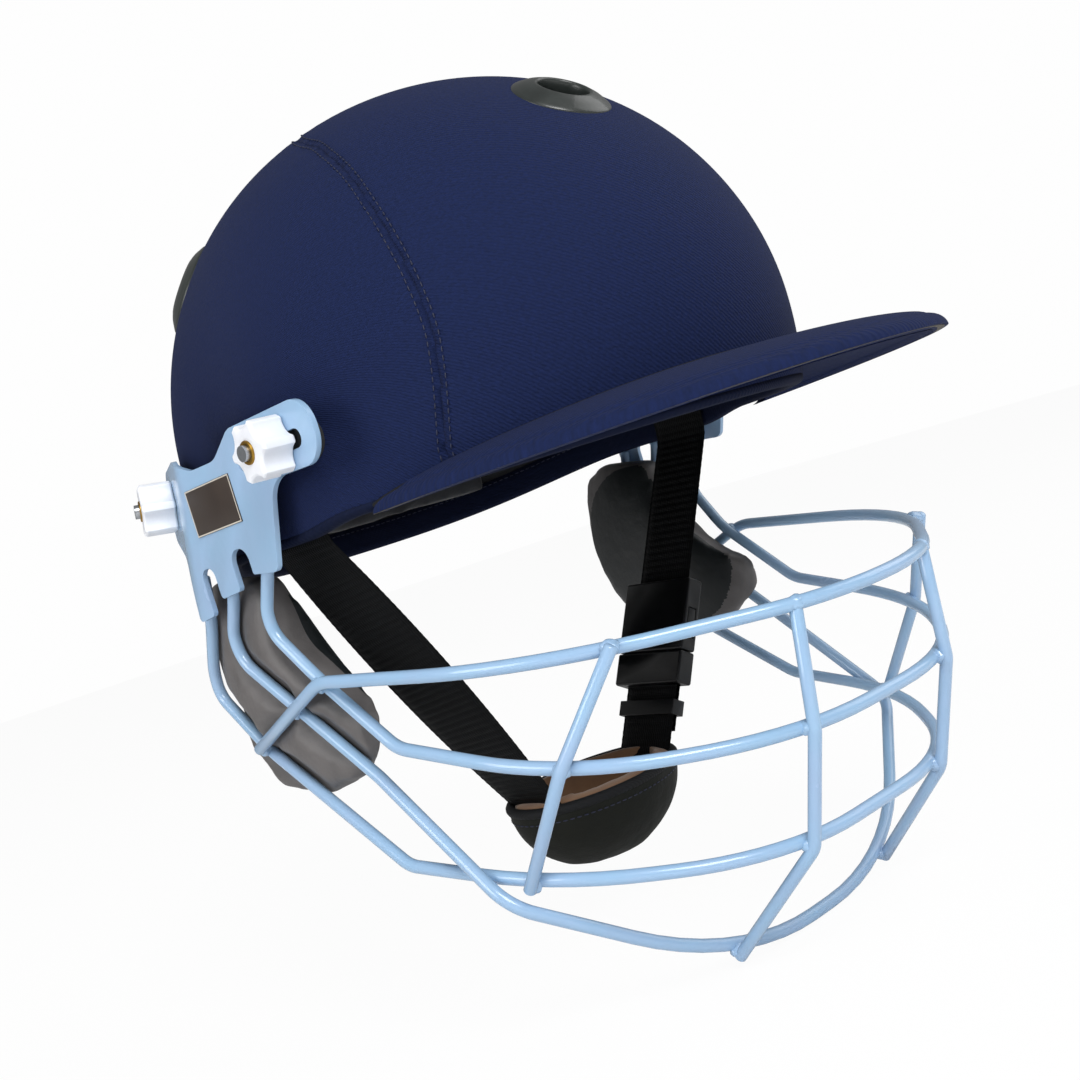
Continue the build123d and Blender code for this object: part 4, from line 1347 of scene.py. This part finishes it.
class HELMET_OT_guard_wires(bpy.types.Operator):
    """Bend the wires of the face guard and weld them"""
    bl_idname = "helmet.guard_wires"
    bl_label = "Guard wires"

    def execute(self, context):
        bars = bar_paths()
        halves = {name: path[len(path) // 2:] for name, path in bars.items()}
        for name, path in bars.items():
            finished(name + "_wire", tube(path, BAR_WIRE / 2), "enamel", "face_guard",
                     (name,))
        welds = []
        for kind in UPRIGHTS:
            path, spots = upright_path(bars, kind)
            for spot, bar in zip(spots, BARS):
                beside = min(path, key=lambda point: (point - spot).length)
                welds.append(((spot + beside) / 2, bar))
            for side, way in SIDES.items():
                finished(kind + "_wire_" + side, tube(mirrored(path, way), UPRIGHT_WIRE / 2),
                         "enamel", "face_guard", (kind + "_" + side,))
        for name in list(BARS)[1:]:
            on_top, on_bar = nearest(bars["top_bar"][-TOP_BAR_END:], halves[name])
            welds.append(((on_top + on_bar) / 2, name))
        radius = context.scene.helmet_sizes.weld_bead / 2
        mesh = bmesh.new()
        for place, bar in welds:
            half = halves[bar]
            spot = min(range(1, len(half) - 1), key=lambda index: (half[index] - place).length)
            tangent = (half[spot + 1] - half[spot - 1]).normalized()
            for way in SIDES.values():
                self.bead(mesh, *mirrored([place, tangent], way), radius)
        bmesh.ops.recalc_face_normals(mesh, faces=mesh.faces)
        finished("weld_beads", mesh, "enamel", "face_guard")
        return {"FINISHED"}

    def bead(self, mesh, place, tangent, radius):
        """A lump of weld under enamel."""
        made = bmesh.ops.create_icosphere(mesh, subdivisions=3, radius=1.0)["verts"]
        turn = tangent.to_track_quat("X", "Z").to_matrix()
        shape = Vector((WELD_LENGTH, WELD_THICKNESS, WELD_THICKNESS)) * radius
        for vert in made:
            spot = vert.co * WELD_LUMP_SCALE + place * WELD_VARIETY
            lump = 1 + WELD_LUMP * noise.noise(spot)
            vert.co = place + turn @ (vert.co * shape * lump)


class HELMET_OT_knobs(bpy.types.Operator):
    """Mould the star knobs round their brass inserts"""
    bl_idname = "helmet.knobs"
    bl_label = "Star knobs"

    def execute(self, context):
        sizes = context.scene.helmet_sizes
        for place in ("front", "rear"):
            for side in SIDES:
                tail = place + "_" + side
                body = "knob_" + tail
                eased("star_grip_" + tail, "star_knob_" + tail, "nylon", body,
                      sizes.knob_edge, segments=4)
                eased("brass_insert_" + tail, "knob_insert_" + tail, "brass", body,
                      edge=0.25 * MM)
        return {"FINISHED"}


class HELMET_OT_fasteners(bpy.types.Operator):
    """Give screws, rivets, washers and spacers their metals and rubber"""
    bl_idname = "helmet.fasteners"
    bl_label = "Fasteners"

    def execute(self, context):
        for node, material in (("guard_screws", "zinc"), ("shell_washers", "zinc"),
                               ("rubber_washers", "rubber"), ("strap_rivets", "gunmetal"),
                               ("strap_rivet_washers", "acetal")):
            give(node, material)
        return {"FINISHED"}


def behind_bars(gap):
    """Keeps a point of a cheek pad behind the wires, with room to bulge between them."""
    spots = []
    for path in bar_paths().values():
        half = path[len(path) // 2:]
        for before, after in zip(half, half[1:]):
            count = max(1, math.ceil((after - before).length / MM))
            spots += [before.lerp(after, part / count) for part in range(count)]
    tree = tree_of([(0, spot.y, spot.z) for spot in spots])

    def hold(point):
        place, distance = tree.find((0, point.y, point.z))[1:]
        limit = spots[place].x - gap + PAD_BULGE * (distance / PAD_BULGE_REACH) ** 2
        limit = min(limit, PAD_OUTER_X)
        if abs(point.x) > limit:
            return Vector((math.copysign(limit, point.x), point.y, point.z))
        return point
    return hold


def tucked_up(point):
    """Draws the top of a cheek pad up and back behind the fingers of its plate."""
    share = smoothstep((point.z - PAD_TUCK_LOW) / PAD_TUCK_HEIGHT)
    back = PAD_REAR_Y + (point.y - PAD_REAR_Y) * PAD_NARROWING
    return Vector((point.x, back + PAD_TUCK_BACK * share, point.z + PAD_TUCK_UP * share))


class HELMET_OT_cheek_pads(bpy.types.Operator):
    """Puff the cheek pads out between the wires"""
    bl_idname = "helmet.cheek_pads"
    bl_label = "Cheek pads"

    def execute(self, context):
        hold = behind_bars(BAR_WIRE / 2 + PAD_WIRE_GAP)
        for side in SIDES:
            piece = softened("cheek_cushion_" + side, "cheek_pad_" + side, "pad", "face_guard",
                             hold, voxel=2.4 * MM, cap=5 * MM,
                             form=tucked_up)
            piece.data.materials.append(MATERIALS["pad_dark"])
            for polygon in piece.data.polygons:
                polygon.material_index = 1 if abs(polygon.center.x) < PAD_FACING_X else 0
        return {"FINISHED"}


class HELMET_OT_chin_strap(bpy.types.Operator):
    """Weave the ribbed webbing of the chin strap and its keeper"""
    bl_idname = "helmet.chin_strap"
    bl_label = "Chin strap"

    def execute(self, context):
        sizes = context.scene.helmet_sizes
        start, run, length = strap_line()
        top = Vector((STRAP_TAB_X, 0, STRAP_TAB_TOP))

        def hung(end):
            return rounded_run([top, start, start + run * end], [0.0, STRAP_BEND, 0.0])

        plug_end = BUCKLE_START + SOCKET_LENGTH + BUCKLE_GAP + PLUG_LENGTH
        lower = start + run * (plug_end - WEBBING_TUCK)
        tail = lower + Vector((-run.z, 0, run.x)) * WEBBING_THICKNESS
        upper = hung(BUCKLE_START + WEBBING_TUCK)
        for name, node, path, way, twist in (
                ("webbing_right", "strap_right", hung(length), -1, STRAP_TWIST),
                ("webbing_left_upper", "strap_left_upper", upper, 1, 0.0),
                ("webbing_left_lower", "strap_left_lower", [lower, start + run * length], 1, 0.0),
                ("webbing_tail", "strap_tail", [tail, tail + run * TAIL_LENGTH], 1, 0.0)):
            webbing(name, node, path, way, twist, sizes)
        for name, node, edge in (("keeper_loop", "strap_keeper", 0.3 * MM),
                                 ("buckle_socket_shell", "buckle_socket", 0.35 * MM),
                                 ("buckle_plug_prongs", "buckle_plug", 0.3 * MM)):
            eased(name, node, "acetal", "chin_strap", edge)
        return {"FINISHED"}


class HELMET_OT_chin_cup(bpy.types.Operator):
    """Form the chin cup, bind its edge and line it with suede"""
    bl_idname = "helmet.chin_cup"
    bl_label = "Chin cup"

    def execute(self, context):
        panel = finished("cup_cloth", self.bowl(), "cup", "chin_strap",
                         ("chin_cup_panel",))
        modify(panel, ("SOLIDIFY", {"thickness": CUP_PANEL, "offset": -1.0}))
        edge = ellipse_ring(CUP_HALF_LENGTH - CUP_BINDING_INSET, CUP_HALF_WIDTH - CUP_BINDING_INSET,
                            CUP_TOP, CUP_EDGE_PLACES)
        rings = [circle(point, side, up, CUP_BINDING, CUP_BINDING_SIDES)
                 for point, (side, up) in zip(edge, frames(edge, closed=True))]
        finished("cup_binding", sweep(edge, rings, closed=True), "black_tape_and_painted_shade", "chin_strap")
        row = ellipse_ring(CUP_HALF_LENGTH * CUP_STITCH_SHARE, CUP_HALF_WIDTH * CUP_STITCH_SHARE,
                           CUP_TOP - CUP_STITCH_DROP, CUP_EDGE_PLACES)
        stitched("cup_stitches", [row + row[:1]], "chin_strap",
                 context.scene.helmet_sizes)
        softened("cup_cushion", "chin_cup_lining", "suede", "chin_strap",
                 lambda point: point, voxel=1.8 * MM, cap=1.5 * MM, rounds=3)
        return {"FINISHED"}

    def bowl(self):
        """The cup's creased outer surface."""
        mesh = bmesh.new()
        rings = []
        for row in range(CUP_LEVELS + 1):
            level = math.radians(90) * row / CUP_LEVELS
            shrink = max(math.cos(level), CUP_TIP)
            ring = ellipse_ring(CUP_HALF_LENGTH * shrink, CUP_HALF_WIDTH * shrink,
                                CUP_TOP - CUP_DEPTH * math.sin(level))
            rings.append([mesh.verts.new(point) for point in ring])
        for above, under in zip(rings, rings[1:]):
            for spot in range(len(above)):
                beside = (spot + 1) % len(above)
                mesh.faces.new((above[spot], above[beside], under[beside], under[spot]))
        mesh.faces.new(rings[-1])
        bmesh.ops.recalc_face_normals(mesh, faces=mesh.faces)
        for vert in mesh.verts:
            crease = (noise.noise(vert.co * CUP_CREASE_SCALE)
                      + CUP_FINE_CREASE * noise.noise(vert.co * CUP_FINE_CREASE_SCALE))
            vert.co += vert.co.normalized() * CUP_CREASE * crease
        mesh.normal_update()
        return mesh


class HELMET_OT_stage(bpy.types.Operator):
    """Set the camera, the soft lamps and the pale floor"""
    bl_idname = "helmet.stage"
    bl_label = "Stage"

    def execute(self, context):
        self.camera(context.scene)
        self.floor()
        self.lamps(context.scene)
        context.scene.view_settings.view_transform = "Standard"
        return {"FINISHED"}

    def camera(self, scene):
        """The photograph's camera."""
        azimuth, elevation, roll = (math.radians(turn) for turn in
                                    (CAMERA_AZIMUTH, CAMERA_ELEVATION, CAMERA_ROLL))
        level = Vector((math.cos(azimuth), math.sin(azimuth), 0))
        back = Vector((math.sin(azimuth) * math.cos(elevation),
                       -math.cos(azimuth) * math.cos(elevation), math.sin(elevation)))
        up = back.cross(level)
        right = level * math.cos(roll) + up * math.sin(roll)
        rise = up * math.cos(roll) - level * math.sin(roll)
        data = bpy.data.cameras.new("photo_camera")
        data.lens = CAMERA_LENS
        data.sensor_width = SENSOR_WIDTH
        data.clip_start = CAMERA_NEAREST
        camera = shown("photo_camera", data)
        camera.matrix_world = (Matrix.Translation(CAMERA_PLACE)
                               @ Matrix((right, rise, back)).transposed().to_4x4())
        scene.camera = camera

    def floor(self):
        """A pale floor that shows white to the camera and keeps the shadow."""
        mesh = bmesh.new()
        bmesh.ops.create_grid(mesh, x_segments=8, y_segments=8, size=FLOOR_SIZE)
        data = bpy.data.meshes.new("floor")
        mesh.to_mesh(data)
        mesh.free()
        data.transform(Matrix.Translation((0, 0, cad_box[0].z - FLOOR_GAP)))
        material = bpy.data.materials.new("matt_white_paper")
        material.use_nodes = True
        tree = material.node_tree
        shader = tree.nodes["Principled BSDF"]
        shader.inputs["Base Color"].default_value = linear(FLOOR_COLOUR)
        shader.inputs["Roughness"].default_value = FLOOR_ROUGHNESS
        glow = add(tree, "ShaderNodeEmission", inputs={"Color": (1, 1, 1, 1), "Strength": 1.0})
        path = add(tree, "ShaderNodeLightPath")
        share = add(tree, "ShaderNodeMath", {"operation": "MULTIPLY"},
                    {0: path.outputs["Is Camera Ray"], 1: FLOOR_GLOW})
        mix = add(tree, "ShaderNodeMixShader",
                  inputs={0: share.outputs[0], 1: shader.outputs[0], 2: glow.outputs[0]})
        tree.links.new(mix.outputs[0], tree.nodes["Material Output"].inputs["Surface"])
        data.materials.append(material)
        shown("floor", data)

    def lamps(self, scene):
        """Three soft lamps and an even sky."""
        for name, place, size, power in LAMPS:
            data = bpy.data.lights.new(name, "AREA")
            data.size = size
            data.energy = power
            aim = -Vector(place)
            shown(name, data).matrix_world = (Matrix.Translation(place)
                                              @ aim.to_track_quat("-Z", "Y").to_matrix().to_4x4())
        world = bpy.data.worlds.new("studio")
        scene.world = world
        world.use_nodes = True
        tree = world.node_tree
        tree.nodes.clear()
        path = add(tree, "ShaderNodeLightPath")
        seen = add(tree, "ShaderNodeMath", {"operation": "MAXIMUM"},
                   {0: path.outputs["Is Camera Ray"], 1: path.outputs["Is Transmission Ray"]})
        strength = add(tree, "ShaderNodeMapRange",
                       inputs={"Value": seen.outputs[0], "To Min": SKY_LIGHT, "To Max": SKY_SEEN})
        sky = add(tree, "ShaderNodeBackground",
                  inputs={"Color": (1, 1, 1, 1), "Strength": strength.outputs["Result"]})
        add(tree, "ShaderNodeOutputWorld", inputs={"Surface": sky.outputs[0]})


class HELMET_PT_panel(bpy.types.Panel):
    """Lists the pieces of the helmet"""
    bl_label = "Cricket helmet"
    bl_idname = "HELMET_PT_panel"
    bl_space_type = "VIEW_3D"
    bl_region_type = "UI"
    bl_category = "Helmet"

    def draw(self, context):
        for group in (context.scene.helmet_sizes, context.scene.helmet_colours):
            for name in group.__annotations__:
                self.layout.prop(group, name)
        for step in STEPS:
            self.layout.operator(step.bl_idname)


STEPS = (HELMET_OT_cover, HELMET_OT_peak, HELMET_OT_hem, HELMET_OT_lining, HELMET_OT_vents,
         HELMET_OT_side_plates, HELMET_OT_guard_wires, HELMET_OT_knobs, HELMET_OT_fasteners,
         HELMET_OT_cheek_pads, HELMET_OT_chin_strap, HELMET_OT_chin_cup, HELMET_OT_stage)
CLASSES = (HelmetSizes, HelmetColours) + STEPS + (HELMET_PT_panel,)


def register():
    for kind in CLASSES:
        bpy.utils.register_class(kind)
    bpy.types.Scene.helmet_sizes = bpy.props.PointerProperty(type=HelmetSizes)
    bpy.types.Scene.helmet_colours = bpy.props.PointerProperty(type=HelmetColours)


def unregister():
    del bpy.types.Scene.helmet_sizes
    del bpy.types.Scene.helmet_colours
    for kind in reversed(CLASSES):
        bpy.utils.unregister_class(kind)


def main():
    register()
    make_materials(bpy.context.scene.helmet_colours)
    for step in STEPS:
        group, name = step.bl_idname.split(".")
        getattr(getattr(bpy.ops, group), name)()


if __name__ == "__main__":
    main()
